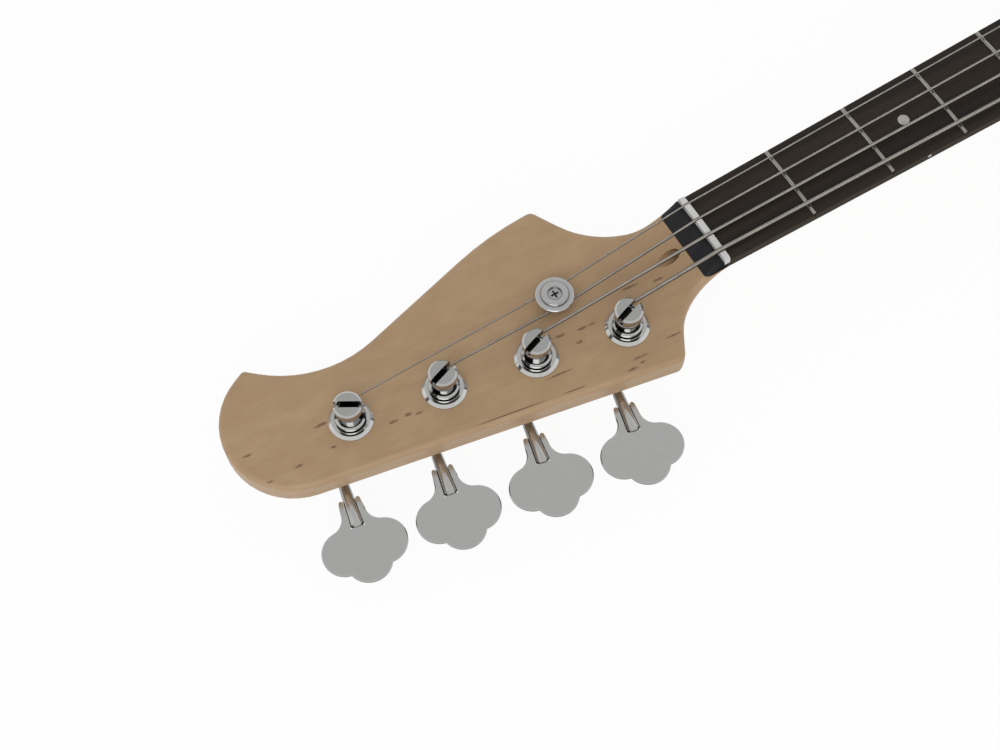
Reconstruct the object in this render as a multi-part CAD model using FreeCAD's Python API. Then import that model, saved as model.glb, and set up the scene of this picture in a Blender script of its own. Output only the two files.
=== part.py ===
import FreeCAD, Part
import math
import os
from FreeCAD import Placement, Rotation, Vector

# Four-string electric bass, lying on its back. Sizes in millimetres.
# +X runs from the saddle line to the head, +Y to the bass side, +Z out of the front.
# The origin is on the flat back of the body, on the centre line, under the saddle line.

# Fits
SEAT_GAP = 0.05
RUN_GAP = 0.08
SLIDE_GAP = 0.3
OVERCUT = 6.0

# Scale, neck and fretboard
SCALE_LENGTH = 864.0
FRET_COUNT = 20
NUT_WIDTH = 40.0
HEEL_WIDTH = 61.0
BOARD_THICKNESS = 6.0
BOARD_RADIUS = 305.0
BOARD_OVERHANG = 9.0
NECK_DEPTH_AT_NUT = 15.0
NECK_DEPTH_AT_HEEL = 18.0
NECK_ROUND_share = 0.56
NECK_SIDE_share = 0.82
HEEL_THICKNESS = 21.0
HEEL_LENGTH = 98.0
HEEL_CORNER = 8.0
HEEL_END_ROUND = 14.0
FRET_WIDTH = 2.3
FRET_HEIGHT = 1.1
FRET_TANG_WIDTH = 0.6
FRET_TANG_DEPTH = 1.8
FRET_INSET = 0.6
DOT_FRETS = [3, 5, 7, 9, 12, 12, 15, 17, 19]
DOT_PAIR_SPACING = 22.0
DOT_RADIUS = 2.9
DOT_DEPTH = 1.5
SIDE_DOT_RADIUS = 1.0
SIDE_DOT_DEPTH = 1.5

# Nut
NUT_THICKNESS = 3.0
NUT_RISE = 2.6
NUT_SEAT_DEPTH = 2.0
NUT_END_ROUND = 1.6
NUT_SCOOP_MARGIN = 2.4

# Truss rod
TRUSS_ROD_RADIUS = 3.0
TRUSS_ROD_DEPTH = 8.0
TRUSS_ANCHOR_SIZE = 9.0
TRUSS_ANCHOR_INSET = 26.0
TRUSS_NUT_RADIUS = 3.8
TRUSS_NUT_LENGTH = 14.0
TRUSS_NUT_SETBACK = 6.0
TRUSS_SOCKET_RADIUS = 2.3
TRUSS_SOCKET_DEPTH = 7.0
TRUSS_SOCKET_SIDES = 6
ACCESS_RADIUS = 3.3
ACCESS_REACH = 28.5
ACCESS_RISE = 6.6

# Head
HEAD_DROP = 11.0
HEAD_THICKNESS = 14.0
HEAD_LENGTH = 247.5
HEAD_EDGE_ROUND = 2.5
TREBLE_FLARE = 1.8
BASS_FLARE = 0.5
HEAD_ROOT = 4.0
SCOOP_RADIUS = 36.0
BACK_RAMP_LENGTH = 46.0
# Back of the neck where it widens into the head: place along the ramp, half width as a share of the
# nut's width, depth as a share of the depth at the nut, squareness, and how upright the sides are.
ROOT_SECTION_shares = [
    (0.0, 0.5, 1.0, 0.56, 0.82),
    (0.4, 0.63, 1.07, 0.6, 0.93),
    (0.7, 0.9, 1.18, 0.7, 1.0),
    (1.0, 1.6, 1.37, 0.95, 1.0),
]
TUNER_EDGE_OFFSET = 24.8
# Treble edge of the head: place along and across as shares of its length, and the round at that corner
# as a share of its shorter side.
TREBLE_FLARE_shares = (0.1745, 0.6299)
TREBLE_EDGE_shares = [
    (0.2529, -0.2335, 0.0982),
    (0.3527, -0.2323, 0.8022),
    (0.7790, -0.1196, 0.8127),
    (0.8949, -0.2242, 0.0427),
]
# Bass edge: place along the tuner edge from the first post, and the round there.
HEAD_END_shares = (1.0846, 0.9462)
BASS_SHOULDER_shares = (-0.0790, 0.1118)
BASS_FLARE_shares = (0.1070, 0.5849)

# Tuners
STRING_NAMES = ["e", "a", "d", "g"]
POST_LINE_ANGLE = 11.15
FIRST_POST_X = 56.9
FIRST_POST_Y = 19.9
POST_PITCH = 45.4
POST_HEIGHT = 18.1
CAP_RADIUS = 6.7
CAP_HEIGHT = 4.8
CAP_EDGE = 0.9
WAIST_RADIUS = 4.6
COLLAR_RADIUS = 7.1
COLLAR_TOP = 5.4
COLLAR_BOTTOM = 0.8
COLLAR_EDGE = 0.8
POST_SHAFT_RADIUS = 4.9
POST_STUB_RADIUS = 3.0
SLOT_WIDTH = 3.0
SLOT_BOTTOM = 9.4
SLOT_ANGLES = [18.6, 18.6, 18.6, 149.0]
FERRULE_RADIUS = 10.5
FERRULE_LIP = 2.2
FERRULE_EDGE = 1.4
FERRULE_BORE_RADIUS = 7.6
FERRULE_BORE_DEPTH = 1.6
FERRULE_BARREL_RADIUS = 8.6
FERRULE_LENGTH = 9.0
SHAFT_HOLE_GAP = 0.6
PLATE_THICKNESS = 1.6
PLATE_POST_SIDE = 13.5
PLATE_WORM_SIDE = 18.5
PLATE_INNER = 14.5
PLATE_OUTER = 17.5
PLATE_CORNER = 3.0
PLATE_SCREW_INSET = 3.4
EAR_THICKNESS = 2.0
EAR_WIDTH = 8.8
EAR_END_DEPTH = 4.8
WORM_DEPTH = 6.5
GEAR_TEETH = 20
GEAR_MODULE = 0.9
WORM_PITCH_RADIUS = 3.5
TOOTH_ADDENDUM = 0.55
TOOTH_CLEARANCE = 0.3
TOOTH_THICKNESS_share = 0.36
TOOTH_ANGLE = 20.0
THREAD_ROOT_SINK = 0.3
GEAR_WIDTH = 4.0
GEAR_SCREW_HEAD_RADIUS = 4.0
GEAR_SCREW_HEAD_HEIGHT = 1.8
GEAR_SCREW_RADIUS = 1.5
GEAR_SCREW_LENGTH = 7.0
WORM_HALF_LENGTH = 5.2
WORM_COLLAR_GAP = 0.4
KEY_JOURNAL_RADIUS = 2.4
KEY_JOURNAL_END = 0.8
KEY_SHAFT_RADIUS = 2.4
KEY_CONE_START = 22.0
KEY_CONE_RADIUS = 2.6
KEY_TIP_RADIUS = 3.3
KEY_TIP_END = 43.0
KEY_TIP_BEVEL = 1.2
LEAF_THICKNESS = 2.2
LEAF_PRONG_END = 29.8
LEAF_PRONG_TIP = 5.2
LEAF_PRONG_REACH = 5.9
LEAF_PRONG_STRAIGHT = 35.0
SIDE_LOBE_PLACE = 53.1
SIDE_LOBE_OFFSET = 9.3
SIDE_LOBE_RADIUS = 11.0
END_LOBE_PLACE = 59.4
END_LOBE_RADIUS = 11.0
LEAF_EDGE = 0.5
TUNER_SCREW_HEAD = 2.7
TUNER_SCREW_RIM = 0.5
TUNER_SCREW_SHANK = 1.3
TUNER_SCREW_LENGTH = 10.0

# String retainer
RETAINER_X = 78.6
RETAINER_Y = -9.7
RETAINER_RADIUS = 9.3
RETAINER_LIFT = 5.4
RETAINER_RIM = 1.5
RETAINER_STEP = 1.0
RETAINER_CROWN_RADIUS = 6.6
RETAINER_STEM_RADIUS = 3.0
RETAINER_ROUND = 0.7
RETAINER_SCREW_HEAD = 3.2
RETAINER_SCREW_SINK = 0.9
RETAINER_SCREW_RIM = 0.5
RETAINER_SCREW_SHANK = 1.5
RETAINER_SCREW_LENGTH = 17.0

# Strings
STRING_RADII = [1.15, 0.92, 0.7, 0.48]
STRING_TURNS = [1, 1, 2, 2]
HELD_DOWN = [False, False, True, True]
NUT_SPACING = 9.7
NUT_SHIFT = -0.6
SADDLE_SPACING = 19.0
NUT_STRING_RISE = 1.6
SADDLE_STRING_RISE = 5.7
WRAP_GAP = 0.15
STRING_SEAT_GAP = 0.1
WRAP_SPACE = 0.8
STRING_BEND = 10.0
TAIL_BEND_share = 0.49
TAIL_RELIEF = 0.12
BALL_RADIUS = 2.8
BALL_LENGTH = 5.5

# Body
BODY_THICKNESS = 44.0
BODY_TAIL = 112.0
BODY_LENGTH = 527.0
BODY_WIDTH = 376.0
BODY_EDGE_ROUND = 8.0
POCKET_DEPTH = 15.0
POCKET_LENGTH = 85.0
POCKET_WALL = 5.0
# Corners of the body: along from the tail as a share of its length, across as a share of its width,
# and the round at that corner as a share of its shorter side. The pocket's lips are treble, then bass.
POCKET_LIP_shares = (0.0814, 0.0703)
TREBLE_SIDE_shares = [
    (0.782, -0.138, 0.7371),
    (0.918, -0.298, 0.2414),
    (0.867, -0.4255, 0.6957),
    (0.554, -0.298, 0.3263),
    (0.1746, -0.4947, 0.4602),
    (0.0, -0.1596, 0.2301),
]
BASS_SIDE_shares = [
    (0.0, 0.2926, 0.4047),
    (0.241, 0.5053, 0.3862),
    (0.6015, 0.287, 0.2771),
    (1.0, 0.4255, 0.7471),
    (1.0, 0.2527, 0.1560),
    (0.774, 0.149, 0.8521),
]

# Neck fixing
NECK_SCREW_INSET = 18.0
NECK_SCREW_SPACING = 48.0
NECK_SCREW_SPREAD = 40.0
NECK_FERRULE_RADIUS = 7.0
NECK_FERRULE_DEPTH = 6.0
NECK_FERRULE_WALL = 1.6
NECK_SCREW_HEAD = 4.4
NECK_SCREW_RIM = 0.8
NECK_SCREW_SHANK = 2.1
NECK_SCREW_LENGTH = 40.0
FLUSH_INSET = 0.2

# Pickups
PICKUP_PLACES = [62.0, 150.0]
PICKUP_LENGTH = 96.0
PICKUP_WIDTH = 24.0
PICKUP_CORNER = 5.0
PICKUP_RISE = 9.0
PICKUP_DEPTH = 12.0
PICKUP_WALL = 2.0
PICKUP_EDGE = 1.2
PICKUP_CAVITY_DEPTH = 22.0
PICKUP_CAVITY_GAP = 0.8
COIL_LENGTH = 70.0
COIL_WIDTH = 15.0
MAGNET_RADIUS = 2.4
MAGNET_LENGTH = 17.0
MAGNET_PAIR_SPACING = 9.5
PICKUP_SCREW_PLACE = 42.5
PICKUP_SCREW_HEAD = 2.7
PICKUP_SCREW_RIM = 0.5
PICKUP_SCREW_SHANK = 1.4
PICKUP_SCREW_LENGTH = 40.0
FOAM_LENGTH = 56.0
FOAM_WIDTH = 16.0

# Bridge
BRIDGE_FRONT = 14.0
BRIDGE_BACK = 42.0
BRIDGE_WIDTH = 82.0
BRIDGE_CORNER = 4.0
BRIDGE_PLATE = 2.5
BRIDGE_WALL = 3.0
BRIDGE_WALL_HEIGHT = 16.0
SADDLE_SETBACKS = [6.0, 4.0, 2.5, 0.5]
SADDLE_FRONT = 4.5
SADDLE_BACK = 9.5
SADDLE_HEIGHT = 13.5
SADDLE_GROOVE = 0.8
SADDLE_CORNER = 1.5
HEIGHT_SCREW_RADIUS = 1.5
HEIGHT_SCREW_OFFSET = 6.4
HEIGHT_SCREW_SOCKET = 0.75
HEIGHT_SCREW_SOCKET_DEPTH = 2.0
INTONATION_HEIGHT = 4.7
INTONATION_RADIUS = 1.5
INTONATION_HEAD_RADIUS = 2.7
INTONATION_HEAD_LENGTH = 2.2
INTONATION_FRONT = 3.0
INTONATION_SLOT = 0.7
STRING_HOLE_RISE = 6.0
STRING_HOLE_GAP = 0.3
SPRING_RADIUS = 2.35
SPRING_WIRE_RADIUS = 0.3
SPRING_TURNS = 9
BRIDGE_SCREW_PLACES_share = [-0.42, -0.21, 0.0, 0.21, 0.42]
BRIDGE_SCREW_HEAD = 3.6
BRIDGE_SCREW_RIM = 0.4
BRIDGE_SCREW_SHANK = 1.7
BRIDGE_SCREW_LENGTH = 28.0
BRIDGE_SCREW_INSET = 5.0

# Controls, in a cavity cut from the back on the treble side
CONTROL_X_share = 0.300
CONTROL_Y_share = -0.282
CONTROL_ANGLE = 20.3
CAVITY_LENGTH = 110.0
CAVITY_WIDTH = 46.0
CAVITY_CORNER = 12.0
CAVITY_ROOF = 6.0
COVER_LIP = 6.0
COVER_THICKNESS = 2.2
COVER_SCREW_INSET = 4.0
COVER_SCREW_HEAD = 2.7
COVER_SCREW_RIM = 0.4
COVER_SCREW_SHANK = 1.2
COVER_SCREW_LENGTH = 12.0
CONTROL_NAMES = ["volume", "tone"]
CONTROL_SPACING = 46.0
POT_RADIUS = 12.0
POT_HEIGHT = 9.0
POT_BUSH_RADIUS = 4.6
POT_BUSH_RISE = 5.0
POT_SHAFT_RADIUS = 3.0
POT_SHAFT_RISE = 15.0
POT_NUT_RADIUS = 7.0
POT_NUT_HEIGHT = 2.2
POT_NUT_SIDES = 6
KNOB_RADIUS = 10.0
KNOB_TOP_RADIUS = 8.8
KNOB_HEIGHT = 17.0
KNOB_EDGE = 1.0
KNOB_LIFT = 1.0
KNOB_RECESS_RADIUS = 8.2
KNOB_RECESS_DEPTH = 6.0
KNOB_MARK_WIDTH = 1.2
KNOB_MARK_DEPTH = 0.5
CAPACITOR_RADIUS = 3.5
CAPACITOR_THICKNESS = 3.0
CAPACITOR_OFFSET = 7.0

# Output jack on the treble rim
JACK_HEIGHT = 22.0
JACK_BORE_RADIUS = 3.25
JACK_BORE_DEPTH = 30.0
JACK_BARREL_RADIUS = 6.3
JACK_BARREL_LENGTH = 33.0
JACK_FLANGE_RADIUS = 9.5
JACK_FLANGE_THICKNESS = 2.0
JACK_FLANGE_EDGE = 0.8
JACK_SEAT_RADIUS = 10.0
JACK_SEAT_DEPTH = 1.2
JACK_END_ROOM = 3.0

# Strap buttons
STRAP_HORN_share = 0.288
STRAP_BASE_RADIUS = 5.5
STRAP_NECK_RADIUS = 4.0
STRAP_HEAD_RADIUS = 7.5
STRAP_BASE_THICKNESS = 1.5
STRAP_LENGTH = 12.0
STRAP_HEAD_THICKNESS = 3.0
STRAP_SCREW_HEAD = 3.4
STRAP_SCREW_RIM = 0.4
STRAP_SCREW_SHANK = 1.7
STRAP_SCREW_LENGTH = 34.0

# Wiring
WIRE_RADIUS = 0.8
WIRE_BEND = 2.4
WIRE_PITCH = 5.6
WIRE_DROP = 3.0
CHANNEL_RADIUS = 5.0
CHANNEL_DEPTH = 18.0
LEAD_PLACE = 33.0
GROUND_CHANNEL_RADIUS = 2.0
GROUND_PLACE_share = 0.30

# Screw drives, as shares of the head's radius
CROSS_WIDTH_share = 0.28
CROSS_LENGTH_share = 1.25
CROSS_DEPTH_share = 0.55

# Heights and places that follow from the sizes above
POCKET_FLOOR_Z = BODY_THICKNESS - POCKET_DEPTH
BOARD_BOTTOM_Z = POCKET_FLOOR_Z + HEEL_THICKNESS
BOARD_TOP_Z = BOARD_BOTTOM_Z + BOARD_THICKNESS
HEAD_FACE_Z = BOARD_TOP_Z - HEAD_DROP
HEAD_BACK_Z = HEAD_FACE_Z - HEAD_THICKNESS
NUT_X = SCALE_LENGTH
TRUSS_Z = BOARD_BOTTOM_Z - TRUSS_ROD_DEPTH
WORM_Z = HEAD_BACK_Z - WORM_DEPTH
PLATE_BACK_Z = HEAD_BACK_Z - SEAT_GAP - PLATE_THICKNESS
GEAR_TOP_Z = WORM_Z + GEAR_WIDTH / 2
GEAR_BOTTOM_Z = WORM_Z - GEAR_WIDTH / 2
GEAR_RADIUS = GEAR_MODULE * GEAR_TEETH / 2
TOOTH_PITCH = math.pi * GEAR_MODULE
WORM_OFFSET = GEAR_RADIUS + WORM_PITCH_RADIUS
BRIDGE_TOP_Z = BODY_THICKNESS + SEAT_GAP + BRIDGE_PLATE
INTONATION_Z = BRIDGE_TOP_Z + INTONATION_HEIGHT
STRING_HOLE_Z = INTONATION_Z + STRING_HOLE_RISE
CAVITY_ROOF_Z = BODY_THICKNESS - CAVITY_ROOF
POT_TOP_Z = CAVITY_ROOF_Z - SEAT_GAP
POT_BOTTOM_Z = POT_TOP_Z - POT_HEIGHT
PICKUP_TOP_Z = BODY_THICKNESS + PICKUP_RISE
PICKUP_BOTTOM_Z = BODY_THICKNESS - PICKUP_DEPTH
PICKUP_FLOOR_Z = BODY_THICKNESS - PICKUP_CAVITY_DEPTH
CHANNEL_Z = BODY_THICKNESS - CHANNEL_DEPTH
SCOOP_START_X = NUT_X + NUT_THICKNESS + NUT_SCOOP_MARGIN
SCOOP_END_X = SCOOP_START_X + math.sqrt(SCOOP_RADIUS ** 2 - (SCOOP_RADIUS - HEAD_DROP) ** 2)

UP = Vector(0, 0, 1)
DOWN = Vector(0, 0, -1)
ALONG = Vector(1, 0, 0)
ACROSS = Vector(0, 1, 0)
TOWARD_TIP = Rotation(UP, -POST_LINE_ANGLE).multVec(ALONG)
OUTWARD = Rotation(UP, -POST_LINE_ANGLE).multVec(ACROSS)


def fret_x(number):
    return SCALE_LENGTH * 2 ** (-number / 12)


BOARD_END_X = fret_x(FRET_COUNT) - BOARD_OVERHANG
HEEL_END_X = BOARD_END_X + HEEL_LENGTH
POCKET_MOUTH_X = BOARD_END_X + POCKET_LENGTH


def half_width(x):
    share = (NUT_X - x) / (NUT_X - BOARD_END_X)
    return (NUT_WIDTH + (HEEL_WIDTH - NUT_WIDTH) * share) / 2


def crown_drop(y):
    return BOARD_RADIUS - math.sqrt(BOARD_RADIUS ** 2 - y ** 2)


# Shape helpers


def block(x0, x1, y0, y1, z0, z1):
    return Part.makeBox(x1 - x0, y1 - y0, z1 - z0, Vector(x0, y0, z0))


def rod(radius, start, end):
    return Part.makeCylinder(radius, (end - start).Length, start, end - start)


def placed(shape, base, axis):
    shape.Placement = Placement(base, Rotation(UP, axis))
    return shape


def turned(outline, base=Vector(0, 0, 0), axis=UP):
    """Turn a closed outline of (radius, height) points about an axis through base."""
    points = [Vector(radius, 0, height) for radius, height in outline]
    face = Part.Face(Part.makePolygon(points + points[:1]))
    return placed(face.revolve(Vector(0, 0, 0), UP, 360), base, axis)


def slab(wire, bottom, top):
    face = Part.Face(wire)
    face.translate(Vector(0, 0, bottom))
    return face.extrude(Vector(0, 0, top - bottom))


def rounded_loop(corners):
    """Closed loop through (x, y, radius) corners, each rounded to its radius."""
    rounds = []
    for index, (x, y, radius) in enumerate(corners):
        before = corners[index - 1]
        after = corners[(index + 1) % len(corners)]
        here = Vector(x, y, 0)
        back = (Vector(before[0], before[1], 0) - here).normalize()
        ahead = (Vector(after[0], after[1], 0) - here).normalize()
        half = back.getAngle(ahead) / 2
        reach = radius / math.tan(half)
        inward = (back + ahead).normalize()
        top = here + inward * (radius / math.sin(half) - radius)
        rounds.append((here + back * reach, top, here + ahead * reach, radius))
    edges = []
    for index, (first, top, last, radius) in enumerate(rounds):
        edges.append(Part.LineSegment(rounds[index - 1][2], first).toShape())
        if radius > 0:
            edges.append(Part.Arc(first, top, last).toShape())
    return Part.Wire(edges)


def eased_loop(corners):
    """Closed loop through (x, y, share) corners, each round taking that share of its shorter side."""
    eased = []
    for index, (x, y, share) in enumerate(corners):
        before = corners[index - 1]
        after = corners[(index + 1) % len(corners)]
        here = Vector(x, y, 0)
        back = Vector(before[0], before[1], 0) - here
        ahead = Vector(after[0], after[1], 0) - here
        reach = share * min(back.Length, ahead.Length)
        eased.append((x, y, reach * math.tan(back.getAngle(ahead) / 2)))
    return rounded_loop(eased)


def rounded_box(x0, x1, y0, y1, radius):
    return rounded_loop([(x0, y0, radius), (x1, y0, radius), (x1, y1, radius), (x0, y1, radius)])


def regular_loop(radius, sides):
    points = []
    for index in range(sides):
        angle = 2 * math.pi * index / sides
        points.append(Vector(radius * math.cos(angle), radius * math.sin(angle), 0))
    return Part.makePolygon(points + points[:1])


def arc_between(first, knee, last):
    """Arc from first to last whose end tangents meet at knee."""
    middle = (first + last) / 2
    half = (knee - first).getAngle(last - first)
    top = middle + (knee - middle) * (math.tan(half / 2) / math.tan(half))
    return Part.Arc(first, top, last).toShape()


def bent_path(points, bend):
    """Straight runs between points, joined by tangent arcs of the bend radius."""
    edges = []
    start = points[0]
    for index in range(1, len(points) - 1):
        here = points[index]
        back = (points[index - 1] - here).normalize()
        ahead = (points[index + 1] - here).normalize()
        reach = bend / math.tan(back.getAngle(ahead) / 2)
        first = here + back * reach
        last = here + ahead * reach
        edges.append(Part.LineSegment(start, first).toShape())
        edges.append(arc_between(first, here, last))
        start = last
    edges.append(Part.LineSegment(start, points[-1]).toShape())
    return edges


def turn_arcs(first, first_way, last, last_way):
    """Two tangent arcs that join two points, each with its own direction."""
    chord = last - first
    ways = first_way + last_way
    spare = 2 * (1 - first_way.dot(last_way))
    lean = chord.dot(ways)
    reach = (math.sqrt(lean ** 2 + spare * chord.dot(chord)) - lean) / spare
    knee_one = first + first_way * reach
    knee_two = last - last_way * reach
    middle = (knee_one + knee_two) / 2
    return [arc_between(first, knee_one, middle), arc_between(middle, knee_two, last)]


def tube(edges, radius):
    start = edges[0].valueAt(edges[0].FirstParameter)
    way = edges[0].tangentAt(edges[0].FirstParameter)
    ring = Part.Wire([Part.Circle(start, way, radius).toShape()])
    return Part.Wire(edges).makePipeShell([ring], True, False)


def least_gap(edges, radius, apart):
    """Least free gap of a wound tube to itself, between points that lie further apart along it."""
    wire = Part.Wire(edges)
    points = wire.discretize(int(wire.Length / radius))
    step = wire.Length / (len(points) - 1)
    skip = int(apart / step) + 1
    least = apart
    for index, point in enumerate(points):
        for other in points[index + skip:]:
            least = min(least, point.distanceToPoint(other))
    return least - 2 * radius


def screw_outline(head, rim, shank, length, gap, above):
    cone = head - shank
    return [
        (0, above),
        (head + gap, above),
        (head + gap, -rim),
        (shank + gap, -rim - cone),
        (shank + gap, -length + shank),
        (0, -length - gap),
    ]


def cross_recess(head):
    width = head * CROSS_WIDTH_share
    reach = head * CROSS_LENGTH_share / 2
    depth = head * CROSS_DEPTH_share
    one = block(-reach, reach, -width / 2, width / 2, -depth, depth)
    two = block(-width / 2, width / 2, -reach, reach, -depth, depth)
    return one.fuse(two)


def screw_set(places, axis, head, rim, shank, length):
    """Countersunk screws with their heads at the places, and the holes that take them."""
    screws = []
    holes = []
    for place in places:
        screw = turned(screw_outline(head, rim, shank, length, 0, 0)).cut(cross_recess(head))
        screws.append(placed(screw, place, axis))
        holes.append(turned(screw_outline(head, rim, shank, length, SEAT_GAP, OVERCUT), place, axis))
    return screws, holes


def save(name, shapes):
    shape = Part.makeCompound(shapes) if len(shapes) > 1 else shapes[0]
    shape.exportStep("parts/" + name + ".step")


os.makedirs("parts", exist_ok=True)


# Places of the posts, keys and strings


def post_place(index):
    return Vector(NUT_X + FIRST_POST_X, FIRST_POST_Y, 0) + TOWARD_TIP * (POST_PITCH * index)


def nut_y(index):
    return NUT_SHIFT + NUT_SPACING * ((len(STRING_NAMES) - 1) / 2 - index)


def saddle_y(index):
    return SADDLE_SPACING * ((len(STRING_NAMES) - 1) / 2 - index)


def nut_point(index):
    y = nut_y(index)
    height = BOARD_TOP_Z - crown_drop(y) + NUT_STRING_RISE + STRING_RADII[index]
    return Vector(NUT_X + NUT_THICKNESS / 2, y, height)


def saddle_point(index):
    y = saddle_y(index)
    height = BOARD_TOP_Z - crown_drop(y) + SADDLE_STRING_RISE + STRING_RADII[index]
    return Vector(-SADDLE_SETBACKS[index], y, height)


def string_y(index, x):
    start = saddle_point(index)
    end = nut_point(index)
    return start.y + (end.y - start.y) * (x - start.x) / (end.x - start.x)


# Strings: one tube each from the ball end over the saddle and the nut to the turns on the post


def winding(index):
    """Straight approach point and the arcs of the turns and of the tail in the slot."""
    radius = STRING_RADII[index]
    centre = post_place(index)
    start = nut_point(index)
    wrap = WAIST_RADIUS + radius + WRAP_GAP
    offset = centre - Vector(start.x, start.y, 0)
    heading = math.atan2(offset.y, offset.x) - math.asin(wrap / offset.Length)
    bend = min(2 * radius, wrap * TAIL_BEND_share)
    lead_in = math.asin(bend / (wrap - bend))
    slot = math.radians(SLOT_ANGLES[index])
    first_angle = heading - math.pi / 2
    sweep = (slot - lead_in - first_angle) % (2 * math.pi) + 2 * math.pi * STRING_TURNS[index]
    pitch = 2 * radius + WRAP_SPACE
    top = HEAD_FACE_Z + POST_HEIGHT - CAP_HEIGHT - WRAP_GAP - radius

    def spot(turn):
        angle = first_angle + turn
        height = top - pitch * (sweep - turn) / (2 * math.pi)
        return Vector(centre.x + wrap * math.cos(angle), centre.y + wrap * math.sin(angle), height)

    def way(turn, climb):
        angle = first_angle + turn
        return Vector(-wrap * math.sin(angle), wrap * math.cos(angle), climb / (2 * math.pi)).normalize()

    contact = spot(0)
    if HELD_DOWN[index]:
        lead = [start]
        for x in (NUT_X + RETAINER_X - RETAINER_RADIUS, NUT_X + RETAINER_X + RETAINER_RADIUS):
            y = start.y + (contact.y - start.y) * (x - start.x) / (contact.x - start.x)
            lead.append(Vector(x, y, HEAD_FACE_Z + RETAINER_LIFT - radius - STRING_SEAT_GAP))
        lead.append(contact)
    else:
        lead = [start, contact]
    steps = math.ceil(sweep / (math.pi / 2))
    arcs = []
    for step in range(steps):
        turn = sweep * step / steps
        after = sweep * (step + 1) / steps
        here_way = (contact - lead[-2]).normalize() if step == 0 else way(turn, pitch)
        after_way = way(after, 0) if step == steps - 1 else way(after, pitch)
        arcs = arcs + turn_arcs(spot(turn), here_way, spot(after), after_way)
    end = spot(sweep)
    along_slot = Vector(math.cos(slot), math.sin(slot), 0)
    inner = math.sqrt((wrap - bend) ** 2 - bend ** 2)
    mouth = Vector(centre.x, centre.y, top) + along_slot * inner
    knee = end + way(sweep, 0) * (bend * math.tan((math.pi / 2 + lead_in) / 2))
    tail = [arc_between(end, knee, mouth)]
    tail.append(Part.LineSegment(mouth, mouth - along_slot * (2 * radius)).toShape())
    return lead, arcs, tail


strings = []
tails = []
for index, name in enumerate(STRING_NAMES):
    lead, arcs, tail = winding(index)
    ball = Vector(-BRIDGE_BACK - BALL_RADIUS - SLIDE_GAP, saddle_y(index), STRING_HOLE_Z)
    route = bent_path([ball, saddle_point(index)] + lead, STRING_BEND)
    strings.append(tube(route + arcs + tail, STRING_RADII[index]))
    wound = least_gap(arcs + tail, STRING_RADII[index], 4 * STRING_RADII[index] + WRAP_SPACE)
    print("string", name, "least gap of its turns", round(wound, 3))
    tails.append(tube(arcs[-2:] + tail, STRING_RADII[index] + TAIL_RELIEF))
    bead = rod(BALL_RADIUS, ball - ACROSS * (BALL_LENGTH / 2), ball + ACROSS * (BALL_LENGTH / 2))
    pull = (saddle_point(index) - ball).normalize() * OVERCUT
    bead = bead.cut(rod(STRING_RADII[index] + SEAT_GAP, ball - pull, ball + pull))
    save("string_" + name, [strings[-1], bead])


# Tuners


def key_frame(index):
    """Place of a key: its axis points outward, its flat lies level, its zero is beside the post."""
    base = post_place(index) + TOWARD_TIP * WORM_OFFSET + UP * WORM_Z
    turn = FreeCAD.Matrix()
    side = TOWARD_TIP * -1
    turn.A11, turn.A21, turn.A31 = side.x, side.y, side.z
    turn.A12, turn.A22, turn.A32 = UP.x, UP.y, UP.z
    turn.A13, turn.A23, turn.A33 = OUTWARD.x, OUTWARD.y, OUTWARD.z
    return Placement(base, Placement(turn).Rotation)


def worm_shaft():
    """Shaft along Z with a one-start thread over its inner end."""
    tip = WORM_PITCH_RADIUS + TOOTH_ADDENDUM
    root = WORM_PITCH_RADIUS - TOOTH_ADDENDUM - TOOTH_CLEARANCE
    slope = math.tan(math.radians(TOOTH_ANGLE))
    half = TOOTH_PITCH * TOOTH_THICKNESS_share / 2
    sunk = root - THREAD_ROOT_SINK
    tip_half = half - TOOTH_ADDENDUM * slope
    sunk_half = half + (WORM_PITCH_RADIUS - sunk) * slope
    turns = math.floor(2 * (WORM_HALF_LENGTH - sunk_half) / TOOTH_PITCH / 2) * 2
    start = -TOOTH_PITCH * turns / 2
    helix = Part.makeHelix(TOOTH_PITCH, TOOTH_PITCH * turns, WORM_PITCH_RADIUS)
    helix.translate(Vector(0, 0, start))
    section = [
        Vector(sunk, 0, start - sunk_half),
        Vector(tip, 0, start - tip_half),
        Vector(tip, 0, start + tip_half),
        Vector(sunk, 0, start + sunk_half),
    ]
    thread = Part.Wire(helix).makePipeShell([Part.makePolygon(section + section[:1])], True, True)
    ear_in = WORM_HALF_LENGTH + WORM_COLLAR_GAP
    inner_end = -ear_in - EAR_THICKNESS - KEY_JOURNAL_END
    body = turned([
        (0, inner_end),
        (KEY_JOURNAL_RADIUS, inner_end),
        (KEY_JOURNAL_RADIUS, -WORM_HALF_LENGTH),
        (root, -WORM_HALF_LENGTH),
        (root, WORM_HALF_LENGTH),
        (KEY_SHAFT_RADIUS, WORM_HALF_LENGTH),
        (KEY_SHAFT_RADIUS, KEY_CONE_START),
        (KEY_CONE_RADIUS, KEY_CONE_START),
        (KEY_TIP_RADIUS, KEY_TIP_END - KEY_TIP_BEVEL),
        (KEY_TIP_RADIUS - KEY_TIP_BEVEL, KEY_TIP_END),
        (0, KEY_TIP_END),
    ])
    return body.fuse(thread)


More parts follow.
